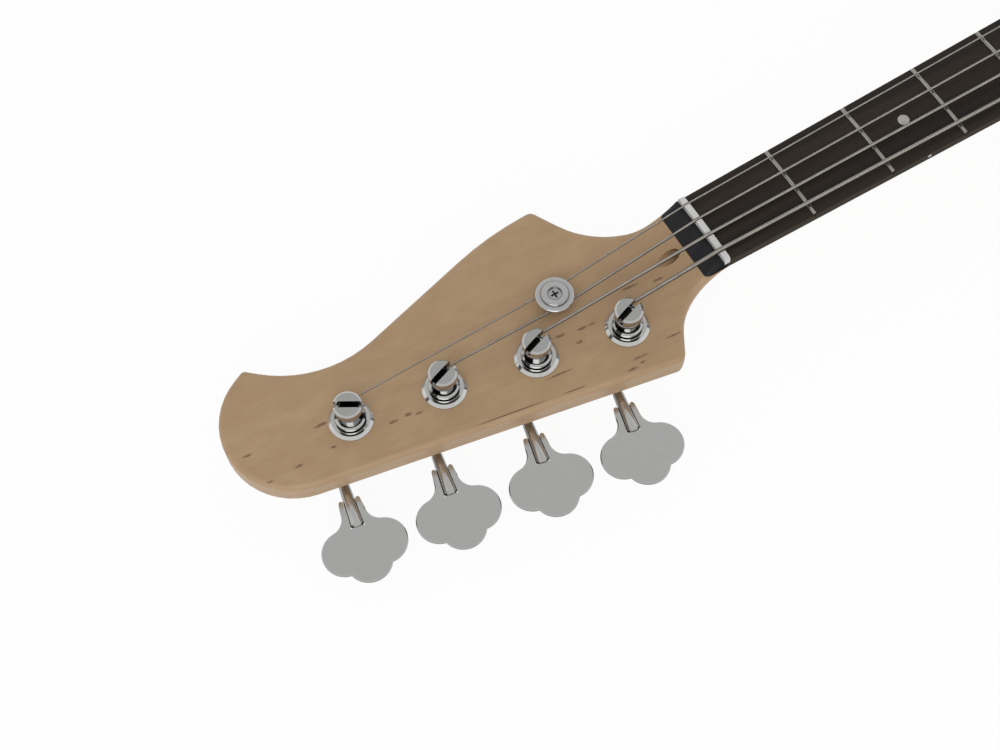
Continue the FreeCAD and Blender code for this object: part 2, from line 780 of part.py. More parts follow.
def leaf_side(side):
    """Points and arcs of one side of the leaf, from the slot to the end lobe."""
    cone_end = KEY_TIP_END - KEY_TIP_BEVEL
    flare = (KEY_TIP_RADIUS - KEY_CONE_RADIUS) / (cone_end - KEY_CONE_START)
    slot = KEY_TIP_RADIUS + SEAT_GAP
    mouth = slot - flare * (cone_end - LEAF_PRONG_END)
    lobe = Vector(side * SIDE_LOBE_OFFSET, 0, SIDE_LOBE_PLACE)
    end = Vector(0, 0, END_LOBE_PLACE)
    drop = SIDE_LOBE_PLACE - LEAF_PRONG_STRAIGHT
    lean = SIDE_LOBE_OFFSET - LEAF_PRONG_REACH
    flank = (drop ** 2 + lean ** 2 - SIDE_LOBE_RADIUS ** 2) / (2 * (SIDE_LOBE_RADIUS + lean))
    centre = Vector(side * (LEAF_PRONG_REACH + flank), 0, LEAF_PRONG_STRAIGHT)
    inner = Vector(side * slot, 0, KEY_TIP_END + SEAT_GAP)
    throat = Vector(side * slot, 0, cone_end)
    prong_in = Vector(side * mouth, 0, LEAF_PRONG_END)
    prong_out = Vector(side * LEAF_PRONG_TIP, 0, LEAF_PRONG_END)
    prong_top = (prong_in + prong_out) / 2 - UP * ((LEAF_PRONG_TIP - mouth) / 2)
    straight = Vector(side * LEAF_PRONG_REACH, 0, LEAF_PRONG_STRAIGHT)
    meet = centre + (lobe - centre).normalize() * flank
    across = lobe - end
    middle = across.Length / 2
    rise = math.sqrt(END_LOBE_RADIUS ** 2 - middle ** 2)
    square = Vector(across.z, 0, -across.x).normalize() * (side * -rise)
    notch = end + across / 2 + square
    flank_top = centre + (straight - centre + meet - centre).normalize() * flank
    lobe_top = lobe + (meet - lobe + notch - lobe).normalize() * SIDE_LOBE_RADIUS
    if (lobe_top - lobe).x * side < 0:
        lobe_top = lobe * 2 - lobe_top
    edges = [
        Part.LineSegment(inner, throat).toShape(),
        Part.LineSegment(throat, prong_in).toShape(),
        Part.Arc(prong_in, prong_top, prong_out).toShape(),
        Part.LineSegment(prong_out, straight).toShape(),
        Part.Arc(straight, flank_top, meet).toShape(),
        Part.Arc(meet, lobe_top, notch).toShape(),
    ]
    return edges, inner, notch


def leaf():
    left, left_inner, left_notch = leaf_side(-1)
    right, right_inner, right_notch = leaf_side(1)
    foot = Vector(0, 0, END_LOBE_PLACE + END_LOBE_RADIUS)
    edges = left + right
    edges.append(Part.Arc(left_notch, foot, right_notch).toShape())
    edges.append(Part.LineSegment(right_inner, left_inner).toShape())
    face = Part.Face(Part.Wire(Part.__sortEdges__(edges)))
    face.translate(ACROSS * (-LEAF_THICKNESS / 2))
    plate = face.extrude(ACROSS * LEAF_THICKNESS)
    outer = []
    for edge in plate.Edges:
        middle = edge.valueAt((edge.FirstParameter + edge.LastParameter) / 2)
        level = abs(abs(middle.y) - LEAF_THICKNESS / 2) < SEAT_GAP
        if level and middle.z > LEAF_PRONG_STRAIGHT and edge.Curve.TypeId == "Part::GeomCircle":
            outer.append(edge)
    return plate.makeChamfer(LEAF_EDGE, outer)


def gear_wheel():
    tip = GEAR_RADIUS + TOOTH_ADDENDUM
    root = GEAR_RADIUS - TOOTH_ADDENDUM - TOOTH_CLEARANCE
    slope = math.tan(math.radians(TOOTH_ANGLE))
    half = TOOTH_PITCH * TOOTH_THICKNESS_share / 2
    tip_half = (half - TOOTH_ADDENDUM * slope) / tip
    root_half = (half + (GEAR_RADIUS - root) * slope) / root
    points = []
    for tooth in range(GEAR_TEETH):
        middle = 2 * math.pi * (tooth + 0.5) / GEAR_TEETH - math.radians(POST_LINE_ANGLE)
        for radius, angle in [(root, -root_half), (tip, -tip_half), (tip, tip_half), (root, root_half)]:
            points.append(Vector(radius * math.cos(middle + angle), radius * math.sin(middle + angle), 0))
    wheel = slab(Part.makePolygon(points + points[:1]), GEAR_BOTTOM_Z, GEAR_TOP_Z)
    bore = POST_STUB_RADIUS + SEAT_GAP
    return wheel.cut(rod(bore, UP * (GEAR_BOTTOM_Z - OVERCUT), UP * (GEAR_TOP_Z + OVERCUT)))


def post():
    """Post about Z at the head's face: cap, waist, collar, shaft and the stub that carries the wheel."""
    top = POST_HEIGHT
    under_cap = POST_HEIGHT - CAP_HEIGHT
    gear_top = GEAR_TOP_Z + SEAT_GAP - HEAD_FACE_Z
    gear_bottom = GEAR_BOTTOM_Z + SEAT_GAP - HEAD_FACE_Z
    return turned([
        (0, top),
        (CAP_RADIUS - CAP_EDGE, top),
        (CAP_RADIUS, top - CAP_EDGE),
        (CAP_RADIUS, under_cap + CAP_EDGE / 2),
        (CAP_RADIUS - CAP_EDGE / 2, under_cap),
        (WAIST_RADIUS, under_cap),
        (WAIST_RADIUS, COLLAR_TOP),
        (COLLAR_RADIUS - COLLAR_EDGE, COLLAR_TOP),
        (COLLAR_RADIUS, COLLAR_TOP - COLLAR_EDGE),
        (COLLAR_RADIUS, COLLAR_BOTTOM),
        (POST_SHAFT_RADIUS, COLLAR_BOTTOM),
        (POST_SHAFT_RADIUS, gear_top),
        (POST_STUB_RADIUS, gear_top),
        (POST_STUB_RADIUS, gear_bottom),
        (0, gear_bottom),
    ], UP * HEAD_FACE_Z)


def ferrule():
    """Flanged bush in the head: recess round the collar, bearing for the shaft."""
    lip = FERRULE_LIP
    bearing = POST_SHAFT_RADIUS + RUN_GAP
    return turned([
        (FERRULE_BORE_RADIUS, lip),
        (FERRULE_RADIUS - FERRULE_EDGE, lip),
        (FERRULE_RADIUS, lip - FERRULE_EDGE),
        (FERRULE_RADIUS, SEAT_GAP),
        (FERRULE_BARREL_RADIUS, SEAT_GAP),
        (FERRULE_BARREL_RADIUS, -FERRULE_LENGTH),
        (bearing, -FERRULE_LENGTH),
        (bearing, -FERRULE_BORE_DEPTH),
        (FERRULE_BORE_RADIUS, -FERRULE_BORE_DEPTH),
    ], UP * HEAD_FACE_Z)


def tuner_plate():
    """Base plate behind the head with two ears that carry the worm shaft, about the post's axis."""
    top = HEAD_BACK_Z - SEAT_GAP
    loop = rounded_box(-PLATE_POST_SIDE, PLATE_WORM_SIDE, -PLATE_INNER, PLATE_OUTER, PLATE_CORNER)
    plate = slab(loop, PLATE_BACK_Z, top)
    ear_in = WORM_HALF_LENGTH + WORM_COLLAR_GAP
    ear_x = (WORM_OFFSET - EAR_WIDTH / 2, WORM_OFFSET + EAR_WIDTH / 2)
    ear_z = (WORM_Z - EAR_END_DEPTH, top)
    for start in (-ear_in - EAR_THICKNESS, ear_in):
        plate = plate.fuse(block(ear_x[0], ear_x[1], start, start + EAR_THICKNESS, ear_z[0], ear_z[1]))
    hole = POST_SHAFT_RADIUS + SHAFT_HOLE_GAP
    plate = plate.cut(rod(hole, UP * (PLATE_BACK_Z - OVERCUT), UP * HEAD_FACE_Z))
    axis = Vector(WORM_OFFSET, 0, WORM_Z)
    outer = rod(KEY_SHAFT_RADIUS + RUN_GAP, axis, axis + ACROSS * (ear_in + EAR_THICKNESS + OVERCUT))
    inner = rod(KEY_JOURNAL_RADIUS + RUN_GAP, axis, axis - ACROSS * (ear_in + EAR_THICKNESS + OVERCUT))
    return plate.cut(outer).cut(inner)


def plate_screw_places():
    left = -PLATE_POST_SIDE + PLATE_SCREW_INSET
    right = PLATE_WORM_SIDE - PLATE_SCREW_INSET
    near = -PLATE_INNER + PLATE_SCREW_INSET
    far = PLATE_OUTER - PLATE_SCREW_INSET
    return [Vector(x, y, PLATE_BACK_Z) for x in (left, right) for y in (near, far)]


TUNER_TURN = Rotation(UP, -POST_LINE_ANGLE)
plate_model = tuner_plate()
ferrule_model = ferrule()
post_model = post()
gear_model = gear_wheel()
leaf_model = leaf()
shaft_model = worm_shaft()
plates = []
ferrules = []
tuner_screws = []
head_holes = []
shaft_hole = POST_SHAFT_RADIUS + SHAFT_HOLE_GAP
for index, name in enumerate(STRING_NAMES):
    centre = post_place(index)
    here = Placement(centre, TUNER_TURN)
    places = [here.multVec(place) for place in plate_screw_places()]
    screws, holes = screw_set(
        places, DOWN, TUNER_SCREW_HEAD, TUNER_SCREW_RIM, TUNER_SCREW_SHANK, TUNER_SCREW_LENGTH)
    tuner_screws = tuner_screws + screws
    plate = plate_model.copy()
    plate.Placement = here
    plates.append(plate.cut(Part.makeCompound(holes)))
    bush = ferrule_model.copy()
    bush.translate(centre)
    ferrules.append(bush)
    barrel_end = centre + UP * (HEAD_FACE_Z - FERRULE_LENGTH - SEAT_GAP)
    face = centre + UP * (HEAD_FACE_Z + OVERCUT)
    back = centre + UP * (HEAD_BACK_Z - OVERCUT)
    head_holes = head_holes + holes
    head_holes.append(rod(FERRULE_BARREL_RADIUS + SEAT_GAP, barrel_end, face))
    head_holes.append(rod(shaft_hole, back, face))
    peg = post_model.copy()
    peg.translate(centre)
    slot = block(-OVERCUT - CAP_RADIUS, OVERCUT + CAP_RADIUS, -SLOT_WIDTH / 2, SLOT_WIDTH / 2,
                 HEAD_FACE_Z + SLOT_BOTTOM, HEAD_FACE_Z + POST_HEIGHT + OVERCUT)
    slot.Placement = Placement(centre, Rotation(UP, SLOT_ANGLES[index]))
    screw_top = GEAR_BOTTOM_Z - SEAT_GAP
    pilot = rod(GEAR_SCREW_RADIUS + SEAT_GAP, centre + UP * (screw_top - OVERCUT),
                centre + UP * (screw_top + GEAR_SCREW_LENGTH + SEAT_GAP))
    save("tuner_post_" + name, [peg.cut(slot).cut(tails[index]).cut(pilot)])
    gear = gear_model.copy()
    gear.translate(centre)
    gear_screw = turned([
        (0, GEAR_SCREW_LENGTH),
        (GEAR_SCREW_RADIUS, GEAR_SCREW_LENGTH),
        (GEAR_SCREW_RADIUS, 0),
        (GEAR_SCREW_HEAD_RADIUS, 0),
        (GEAR_SCREW_HEAD_RADIUS, -GEAR_SCREW_HEAD_HEIGHT),
        (0, -GEAR_SCREW_HEAD_HEIGHT),
    ])
    drive = cross_recess(GEAR_SCREW_HEAD_RADIUS)
    drive.translate(DOWN * GEAR_SCREW_HEAD_HEIGHT)
    gear_screw = gear_screw.cut(drive)
    gear_screw.translate(centre + UP * screw_top)
    save("tuner_gear_" + name, [gear, gear_screw])
    pieces = [leaf_model.copy(), shaft_model.copy()]
    for piece in pieces:
        piece.Placement = key_frame(index)
    save("tuner_key_" + name, pieces)
save("tuner_plates", plates)
save("tuner_ferrules", ferrules)
save("tuner_screws", tuner_screws)


# String retainer: a stepped disc with rounded edges on a stem, held by one sunk screw

retainer_base = Vector(NUT_X + RETAINER_X, RETAINER_Y, HEAD_FACE_Z)
retainer_top = RETAINER_LIFT + RETAINER_RIM + RETAINER_STEP
retainer = turned([
    (0, SEAT_GAP),
    (RETAINER_STEM_RADIUS, SEAT_GAP),
    (RETAINER_STEM_RADIUS, RETAINER_LIFT),
    (RETAINER_RADIUS, RETAINER_LIFT),
    (RETAINER_RADIUS, RETAINER_LIFT + RETAINER_RIM),
    (RETAINER_CROWN_RADIUS, RETAINER_LIFT + RETAINER_RIM),
    (RETAINER_CROWN_RADIUS, retainer_top),
    (0, retainer_top),
], retainer_base)
brink = []
for edge in retainer.Edges:
    reach = edge.BoundBox.XLength / 2
    on_crown = edge.BoundBox.ZMin > retainer_base.z + retainer_top - SEAT_GAP
    at_rim = abs(reach - RETAINER_RADIUS) < SEAT_GAP
    if at_rim or on_crown and abs(reach - RETAINER_CROWN_RADIUS) < SEAT_GAP:
        brink.append(edge)
retainer = retainer.makeFillet(RETAINER_ROUND, brink)
retainer_screws, retainer_holes = screw_set(
    [retainer_base + UP * (retainer_top - RETAINER_SCREW_SINK)], UP,
    RETAINER_SCREW_HEAD, RETAINER_SCREW_RIM, RETAINER_SCREW_SHANK, RETAINER_SCREW_LENGTH)
save("string_retainer", [retainer.cut(retainer_holes[0])])
save("retainer_screw", retainer_screws)
head_holes = head_holes + retainer_holes


# Neck: round back, heel, head and the scoop behind the nut


def neck_section(x, half, depth, round_share, side_share):
    """Flat on top, rounded below; larger shares give a squarer back and more upright sides."""
    top = BOARD_BOTTOM_Z
    low = top - depth
    pull = half * round_share
    side = half * side_share
    edges = [Part.LineSegment(Vector(x, -half, top), Vector(x, half, top)).toShape()]
    bass = Part.BezierCurve()
    bass.setPoles([Vector(x, half, top), Vector(x, side, top - depth * round_share),
                   Vector(x, pull, low), Vector(x, 0, low)])
    treble = Part.BezierCurve()
    treble.setPoles([Vector(x, 0, low), Vector(x, -pull, low),
                     Vector(x, -side, top - depth * round_share), Vector(x, -half, top)])
    edges.append(bass.toShape())
    edges.append(treble.toShape())
    return Part.Wire(edges)


def head_loop():
    edge_start = Vector(NUT_X + FIRST_POST_X, FIRST_POST_Y, 0) + OUTWARD * TUNER_EDGE_OFFSET
    root = NUT_X - HEAD_ROOT
    half = NUT_WIDTH / 2
    corners = [(root, half, 0), (root, -half, 0)]
    flare_x, ease = TREBLE_FLARE_shares
    corners.append((NUT_X + flare_x * HEAD_LENGTH, -half - TREBLE_FLARE, ease))
    for along, across, ease in TREBLE_EDGE_shares:
        corners.append((NUT_X + along * HEAD_LENGTH, across * HEAD_LENGTH, ease))
    for along, ease in (HEAD_END_shares, BASS_SHOULDER_shares):
        corner = edge_start + TOWARD_TIP * (along * HEAD_LENGTH)
        corners.append((corner.x, corner.y, ease))
    flare_x, ease = BASS_FLARE_shares
    corners.append((NUT_X + flare_x * HEAD_LENGTH, half + BASS_FLARE, ease))
    return eased_loop(corners)


def heel_loop(x_end, gap):
    start = BOARD_END_X - gap
    near = half_width(BOARD_END_X) + gap
    far = half_width(x_end) + gap
    corners = [(start, -near, HEEL_CORNER), (x_end, -far, 0), (x_end, far, 0), (start, near, HEEL_CORNER)]
    return rounded_loop(corners)


# The face of the head and the scoop up to the nut are one surface
scoop_top_z = HEAD_FACE_Z + SCOOP_RADIUS
lean = SCOOP_RADIUS * math.sqrt(0.5)
scoop_start = Vector(SCOOP_END_X - SCOOP_RADIUS, -HEAD_LENGTH, scoop_top_z)
scoop_middle = Vector(SCOOP_END_X - lean, -HEAD_LENGTH, scoop_top_z - lean)
scoop_end = Vector(SCOOP_END_X, -HEAD_LENGTH, HEAD_FACE_Z)
face_end = scoop_end + ALONG * HEAD_LENGTH
face_top = face_end + UP * SCOOP_RADIUS
front = Part.Face(Part.Wire([
    Part.Arc(scoop_start, scoop_middle, scoop_end).toShape(),
    Part.LineSegment(scoop_end, face_end).toShape(),
    Part.LineSegment(face_end, face_top).toShape(),
    Part.LineSegment(face_top, scoop_start).toShape(),
])).extrude(ACROSS * (2 * HEAD_LENGTH))
blank = slab(head_loop(), HEAD_BACK_Z, scoop_top_z).cut(front)
rim = []
for edge in blank.Edges:
    middle = edge.valueAt((edge.FirstParameter + edge.LastParameter) / 2)
    upright = edge.BoundBox.XLength < SEAT_GAP and edge.BoundBox.YLength < SEAT_GAP
    crosses = edge.BoundBox.YMax > SEAT_GAP and edge.BoundBox.YMin < -SEAT_GAP
    inside = crosses and middle.x < SCOOP_END_X + SEAT_GAP
    if middle.x > NUT_X - HEAD_ROOT + SEAT_GAP and not upright and not inside:
        rim.append(edge)
blank = blank.makeFillet(HEAD_EDGE_ROUND, rim)
nut_half = NUT_WIDTH / 2
root_sections = []
for along, half, depth, squareness, uprightness in ROOT_SECTION_shares:
    root_sections.append(neck_section(NUT_X + along * BACK_RAMP_LENGTH, half * NUT_WIDTH,
                                      depth * NECK_DEPTH_AT_NUT, squareness, uprightness))
root = Part.makeLoft(root_sections, True, False)
root_end_x = NUT_X + BACK_RAMP_LENGTH
near_half = block(NUT_X - HEAD_LENGTH, root_end_x, -HEAD_LENGTH, HEAD_LENGTH, 0, scoop_top_z + OVERCUT)
head = blank.cut(near_half)
root = blank.common(root)
shaft = Part.makeLoft([
    neck_section(HEEL_END_X - HEEL_END_ROUND, half_width(HEEL_END_X - HEEL_END_ROUND),
                 NECK_DEPTH_AT_HEEL, NECK_ROUND_share, NECK_SIDE_share),
    neck_section(NUT_X, nut_half, NECK_DEPTH_AT_NUT, NECK_ROUND_share, NECK_SIDE_share),
], True, True)
heel = slab(heel_loop(HEEL_END_X, 0), POCKET_FLOOR_Z + SEAT_GAP, BOARD_BOTTOM_Z)
toe = []
for edge in heel.Edges:
    middle = edge.valueAt((edge.FirstParameter + edge.LastParameter) / 2)
    if abs(middle.x - HEEL_END_X) < SEAT_GAP and middle.z < POCKET_FLOOR_Z + 2 * SEAT_GAP:
        toe.append(edge)
heel = heel.makeFillet(HEEL_END_ROUND, toe)
neck = shaft.fuse([root, head, heel])

# Truss rod with its anchor in the heel and its turning nut under the scoop
anchor_x = BOARD_END_X + TRUSS_ANCHOR_INSET
truss_end_x = NUT_X - TRUSS_NUT_SETBACK
truss_start = Vector(anchor_x, 0, TRUSS_Z)
truss_end = Vector(truss_end_x, 0, TRUSS_Z)
anchor_half = TRUSS_ANCHOR_SIZE / 2
anchor = block(anchor_x - anchor_half, anchor_x + anchor_half, -anchor_half, anchor_half,
               TRUSS_Z - anchor_half, BOARD_BOTTOM_Z - SEAT_GAP)
save("truss_rod", [rod(TRUSS_ROD_RADIUS, truss_start, truss_end).fuse(anchor)])
nut_start = truss_end - ALONG * (TRUSS_NUT_LENGTH / 2)
nut_end = nut_start + ALONG * TRUSS_NUT_LENGTH
truss_nut = rod(TRUSS_NUT_RADIUS, nut_start, nut_end)
rod_end = truss_end + ALONG * RUN_GAP
truss_nut = truss_nut.cut(rod(TRUSS_ROD_RADIUS + RUN_GAP, nut_start - ALONG * OVERCUT, rod_end))
socket = slab(regular_loop(TRUSS_SOCKET_RADIUS, TRUSS_SOCKET_SIDES), 0, TRUSS_SOCKET_DEPTH + OVERCUT)
truss_nut = truss_nut.cut(placed(socket, nut_end + ALONG * OVERCUT, ALONG * -1))
save("truss_rod_nut", [truss_nut])
grown = anchor_half + SEAT_GAP
channel = rod(TRUSS_ROD_RADIUS + SEAT_GAP, truss_start, truss_end)
channel = channel.fuse(block(anchor_x, truss_end_x,
                             -TRUSS_ROD_RADIUS - SEAT_GAP, TRUSS_ROD_RADIUS + SEAT_GAP,
                             TRUSS_Z, BOARD_BOTTOM_Z + OVERCUT))
anchor_hole = block(anchor_x - grown, anchor_x + grown, -grown, grown,
                    TRUSS_Z - grown, BOARD_BOTTOM_Z + OVERCUT)
access_end = Vector(NUT_X + ACCESS_REACH, 0, TRUSS_Z + ACCESS_RISE)
access = rod(ACCESS_RADIUS, Vector(NUT_X, 0, TRUSS_Z), access_end + (access_end - nut_end) / 2)
nut_hole = rod(TRUSS_NUT_RADIUS + SLIDE_GAP, nut_start - ALONG * SLIDE_GAP, nut_end + ALONG * SLIDE_GAP)

# Neck screws through ferrules in the back of the body
neck_places = []
for x in (BOARD_END_X + NECK_SCREW_INSET, BOARD_END_X + NECK_SCREW_INSET + NECK_SCREW_SPACING):
    for y in (-NECK_SCREW_SPREAD / 2, NECK_SCREW_SPREAD / 2):
        neck_places.append(Vector(x, y, NECK_FERRULE_DEPTH - NECK_FERRULE_WALL))
neck_screws, neck_holes = screw_set(
    neck_places, DOWN, NECK_SCREW_HEAD, NECK_SCREW_RIM, NECK_SCREW_SHANK, NECK_SCREW_LENGTH)
save("neck_screws", neck_screws)
cup_inner = NECK_FERRULE_RADIUS - NECK_FERRULE_WALL
cup = turned([
    (0, -NECK_FERRULE_DEPTH),
    (NECK_FERRULE_RADIUS, -NECK_FERRULE_DEPTH),
    (NECK_FERRULE_RADIUS, -FLUSH_INSET),
    (cup_inner, -FLUSH_INSET),
    (cup_inner, -NECK_FERRULE_DEPTH + NECK_FERRULE_WALL + NECK_SCREW_RIM),
    (0, -NECK_FERRULE_DEPTH + NECK_FERRULE_WALL + NECK_SCREW_RIM),
])
cups = []
cup_holes = []
for place, hole in zip(neck_places, neck_holes):
    floor = Vector(place.x, place.y, 0)
    cups.append(placed(cup.copy(), floor, DOWN).cut(hole))
    cup_top = floor + UP * (NECK_FERRULE_DEPTH + SEAT_GAP)
    cup_holes.append(rod(NECK_FERRULE_RADIUS + SEAT_GAP, floor - UP * OVERCUT, cup_top))
save("neck_ferrules", cups)
neck_cuts = [channel, anchor_hole, nut_hole, access] + head_holes + neck_holes
for tool in neck_cuts:
    neck = neck.cut(tool)
save("neck", [neck])

# Fretboard, frets, nut and dots
board_points = [
    Vector(BOARD_END_X, -half_width(BOARD_END_X), 0),
    Vector(NUT_X, -nut_half, 0),
    Vector(root_end_x, -nut_half, 0),
    Vector(root_end_x, nut_half, 0),
    Vector(NUT_X, nut_half, 0),
    Vector(BOARD_END_X, half_width(BOARD_END_X), 0),
]
crown_axis = Vector(BOARD_END_X - OVERCUT, 0, BOARD_TOP_Z - BOARD_RADIUS)
crown_end = Vector(root_end_x + OVERCUT, 0, BOARD_TOP_Z - BOARD_RADIUS)
crown = rod(BOARD_RADIUS, crown_axis, crown_end)
board = slab(Part.makePolygon(board_points + board_points[:1]), BOARD_BOTTOM_Z + SEAT_GAP, BOARD_TOP_Z)
board = board.common(crown)
past_nut = block(NUT_X + NUT_THICKNESS, root_end_x + OVERCUT, -NUT_WIDTH, NUT_WIDTH,
                 BOARD_BOTTOM_Z, scoop_top_z)
board = board.cut(past_nut.cut(blank))
nut_floor_z = BOARD_TOP_Z - NUT_SEAT_DEPTH
seat = block(NUT_X - SEAT_GAP, NUT_X + NUT_THICKNESS + SEAT_GAP, -NUT_WIDTH, NUT_WIDTH,
             nut_floor_z - SEAT_GAP, BOARD_TOP_Z + OVERCUT)
board = board.cut(seat)


def fret_bar(x, width, height, tang, depth, reach):
    """Bar bent to the crown of the board: a round bead over a tang."""
    top = BOARD_TOP_Z + SEAT_GAP
    left = Vector(x - width / 2, 0, top)
    right = Vector(x + width / 2, 0, top)
    under = [
        right,
        Vector(x + tang / 2, 0, top),
        Vector(x + tang / 2, 0, top - depth),
        Vector(x - tang / 2, 0, top - depth),
        Vector(x - tang / 2, 0, top),
        left,
    ]
    bead = Part.Arc(left, Vector(x, 0, top + height), right).toShape()
    face = Part.Face(Part.Wire([bead] + Part.makePolygon(under).Edges))
    angle = math.degrees(math.asin(reach / BOARD_RADIUS))
    pivot = Vector(x, 0, BOARD_TOP_Z - BOARD_RADIUS)
    face.rotate(pivot, ALONG, -angle)
    return face.revolve(pivot, ALONG, 2 * angle)


frets = []
slots = []
for number in range(1, FRET_COUNT + 1):
    x = fret_x(number)
    reach = half_width(x) - FRET_INSET
    frets.append(fret_bar(x, FRET_WIDTH, FRET_HEIGHT, FRET_TANG_WIDTH, FRET_TANG_DEPTH, reach))
    cut_half = FRET_TANG_WIDTH / 2 + SEAT_GAP
    slots.append(block(x - cut_half, x + cut_half, -HEEL_WIDTH, HEEL_WIDTH,
                       BOARD_TOP_Z - FRET_TANG_DEPTH - SEAT_GAP - crown_drop(reach), BOARD_TOP_Z + OVERCUT))
save("frets", frets)
dots = []
dot_holes = []
for place, number in enumerate(DOT_FRETS):
    x = (fret_x(number) + fret_x(number - 1)) / 2
    side = 1 if DOT_FRETS.index(number) == place else -1
    paired = DOT_FRETS.count(number) > 1
    y = side * DOT_PAIR_SPACING / 2 if paired else 0
    floor = Vector(x, y, BOARD_TOP_Z - DOT_DEPTH - crown_drop(y))
    top = Vector(x, y, BOARD_TOP_Z + OVERCUT)
    dots.append(rod(DOT_RADIUS, floor, top).common(crown))
    dot_holes.append(rod(DOT_RADIUS + SEAT_GAP, floor - UP * SEAT_GAP, top))
    edge_y = half_width(x)
    edge_z = BOARD_BOTTOM_Z + BOARD_THICKNESS / 2
    shift = side * SIDE_DOT_RADIUS * 2 if paired else 0
    inner = Vector(x + shift, edge_y - SIDE_DOT_DEPTH, edge_z)
    outer = Vector(x + shift, edge_y, edge_z)
    dots.append(rod(SIDE_DOT_RADIUS, inner, outer))
    dot_holes.append(rod(SIDE_DOT_RADIUS + SEAT_GAP, inner - ACROSS * SEAT_GAP, outer + ACROSS * OVERCUT))
save("position_dots", dots)
board = board.cut(Part.makeCompound(slots)).cut(Part.makeCompound(dot_holes))
save("fretboard", [board])

nut = block(NUT_X, NUT_X + NUT_THICKNESS, -nut_half, nut_half, nut_floor_z, BOARD_TOP_Z + NUT_RISE)
nut = nut.common(rod(BOARD_RADIUS + NUT_RISE, crown_axis, crown_end))
ends = []
for edge in nut.Edges:
    middle = edge.valueAt((edge.FirstParameter + edge.LastParameter) / 2)
    at_end = abs(abs(middle.y) - nut_half) < SEAT_GAP
    if at_end and middle.z > BOARD_TOP_Z and edge.BoundBox.XLength > SEAT_GAP:
        ends.append(edge)
nut = nut.makeFillet(NUT_END_ROUND, ends)
for index in range(len(STRING_NAMES)):
    point = nut_point(index)
    size = STRING_RADII[index] + STRING_SEAT_GAP
    for aim in (saddle_point(index), winding(index)[0][1]):
        nut = nut.cut(rod(size, point, point + (aim - point).normalize() * OVERCUT))
    nut = nut.cut(Part.makeSphere(size, point))
    nut = nut.cut(block(NUT_X - OVERCUT, NUT_X + NUT_THICKNESS + OVERCUT, point.y - size, point.y + size,
                        point.z, BOARD_TOP_Z + NUT_RISE + OVERCUT))
save("nut", [nut])


# Body


def body_loop():
    corners = []
    mouth = half_width(POCKET_MOUTH_X) + POCKET_WALL
    treble_lip, bass_lip = POCKET_LIP_shares
    corners.append((POCKET_MOUTH_X, -mouth, treble_lip))
    for along, across, ease in TREBLE_SIDE_shares + BASS_SIDE_shares:
        corners.append((along * BODY_LENGTH - BODY_TAIL, across * BODY_WIDTH, ease))
    corners.append((POCKET_MOUTH_X, mouth, bass_lip))
    return eased_loop(corners)


outline = body_loop()
body = slab(outline, 0, BODY_THICKNESS)
rim = []
for edge in body.Edges:
    if edge.BoundBox.ZLength < SEAT_GAP:
        rim.append(edge)
body = body.makeFillet(BODY_EDGE_ROUND, rim)
pocket = slab(heel_loop(HEEL_END_X + OVERCUT, SEAT_GAP), POCKET_FLOOR_Z, BODY_THICKNESS + OVERCUT)
body_cuts = [pocket] + cup_holes + neck_holes

# Pickups
covers = []
coils = []
magnets = []
foams = []
pickup_places = []
for x in PICKUP_PLACES:
    half_x = PICKUP_WIDTH / 2
    half_y = PICKUP_LENGTH / 2
    gap = PICKUP_CAVITY_GAP
    cavity = rounded_box(x - half_x - gap, x + half_x + gap, -half_y - gap, half_y + gap,
                         PICKUP_CORNER + gap)
    body_cuts.append(slab(cavity, PICKUP_FLOOR_Z, BODY_THICKNESS + OVERCUT))
    shell = rounded_box(x - half_x, x + half_x, -half_y, half_y, PICKUP_CORNER)
    cover = slab(shell, PICKUP_BOTTOM_Z, PICKUP_TOP_Z)
    brim = []
    for edge in cover.Edges:
        if edge.BoundBox.ZLength < SEAT_GAP and edge.BoundBox.ZMin > BODY_THICKNESS:
            brim.append(edge)
    cover = cover.makeFillet(PICKUP_EDGE, brim)
    coil_x = COIL_WIDTH / 2
    coil_y = COIL_LENGTH / 2
    roof_z = PICKUP_TOP_Z - PICKUP_WALL
    room = rounded_box(x - coil_x - SEAT_GAP, x + coil_x + SEAT_GAP,
                       -coil_y - SEAT_GAP, coil_y + SEAT_GAP, coil_x)
    cover = cover.cut(slab(room, PICKUP_BOTTOM_Z - OVERCUT, roof_z))
    ring = rounded_box(x - coil_x, x + coil_x, -coil_y, coil_y, coil_x - SEAT_GAP)
    coil = slab(ring, PICKUP_BOTTOM_Z, roof_z - SEAT_GAP)
    for index in range(len(STRING_NAMES)):
        for side in (-1, 1):
            y = string_y(index, x) + side * MAGNET_PAIR_SPACING / 2
            top = Vector(x, y, PICKUP_TOP_Z)
            magnets.append(rod(MAGNET_RADIUS, top - UP * MAGNET_LENGTH, top))
            hole = rod(MAGNET_RADIUS + SEAT_GAP, top - UP * (MAGNET_LENGTH + SEAT_GAP), top + UP * OVERCUT)
            cover = cover.cut(hole)
            coil = coil.cut(hole)
    coils.append(coil)
    foam_top = PICKUP_BOTTOM_Z - SEAT_GAP
    foams.append(block(x - FOAM_WIDTH / 2, x + FOAM_WIDTH / 2, -FOAM_LENGTH / 2, FOAM_LENGTH / 2,
                       PICKUP_FLOOR_Z + SEAT_GAP, foam_top))
    places = [Vector(x, side * PICKUP_SCREW_PLACE, PICKUP_TOP_Z) for side in (-1, 1)]
    pickup_places = pickup_places + places
    covers.append(cover)
pickup_screws, pickup_holes = screw_set(
    pickup_places, UP, PICKUP_SCREW_HEAD, PICKUP_SCREW_RIM, PICKUP_SCREW_SHANK, PICKUP_SCREW_LENGTH)
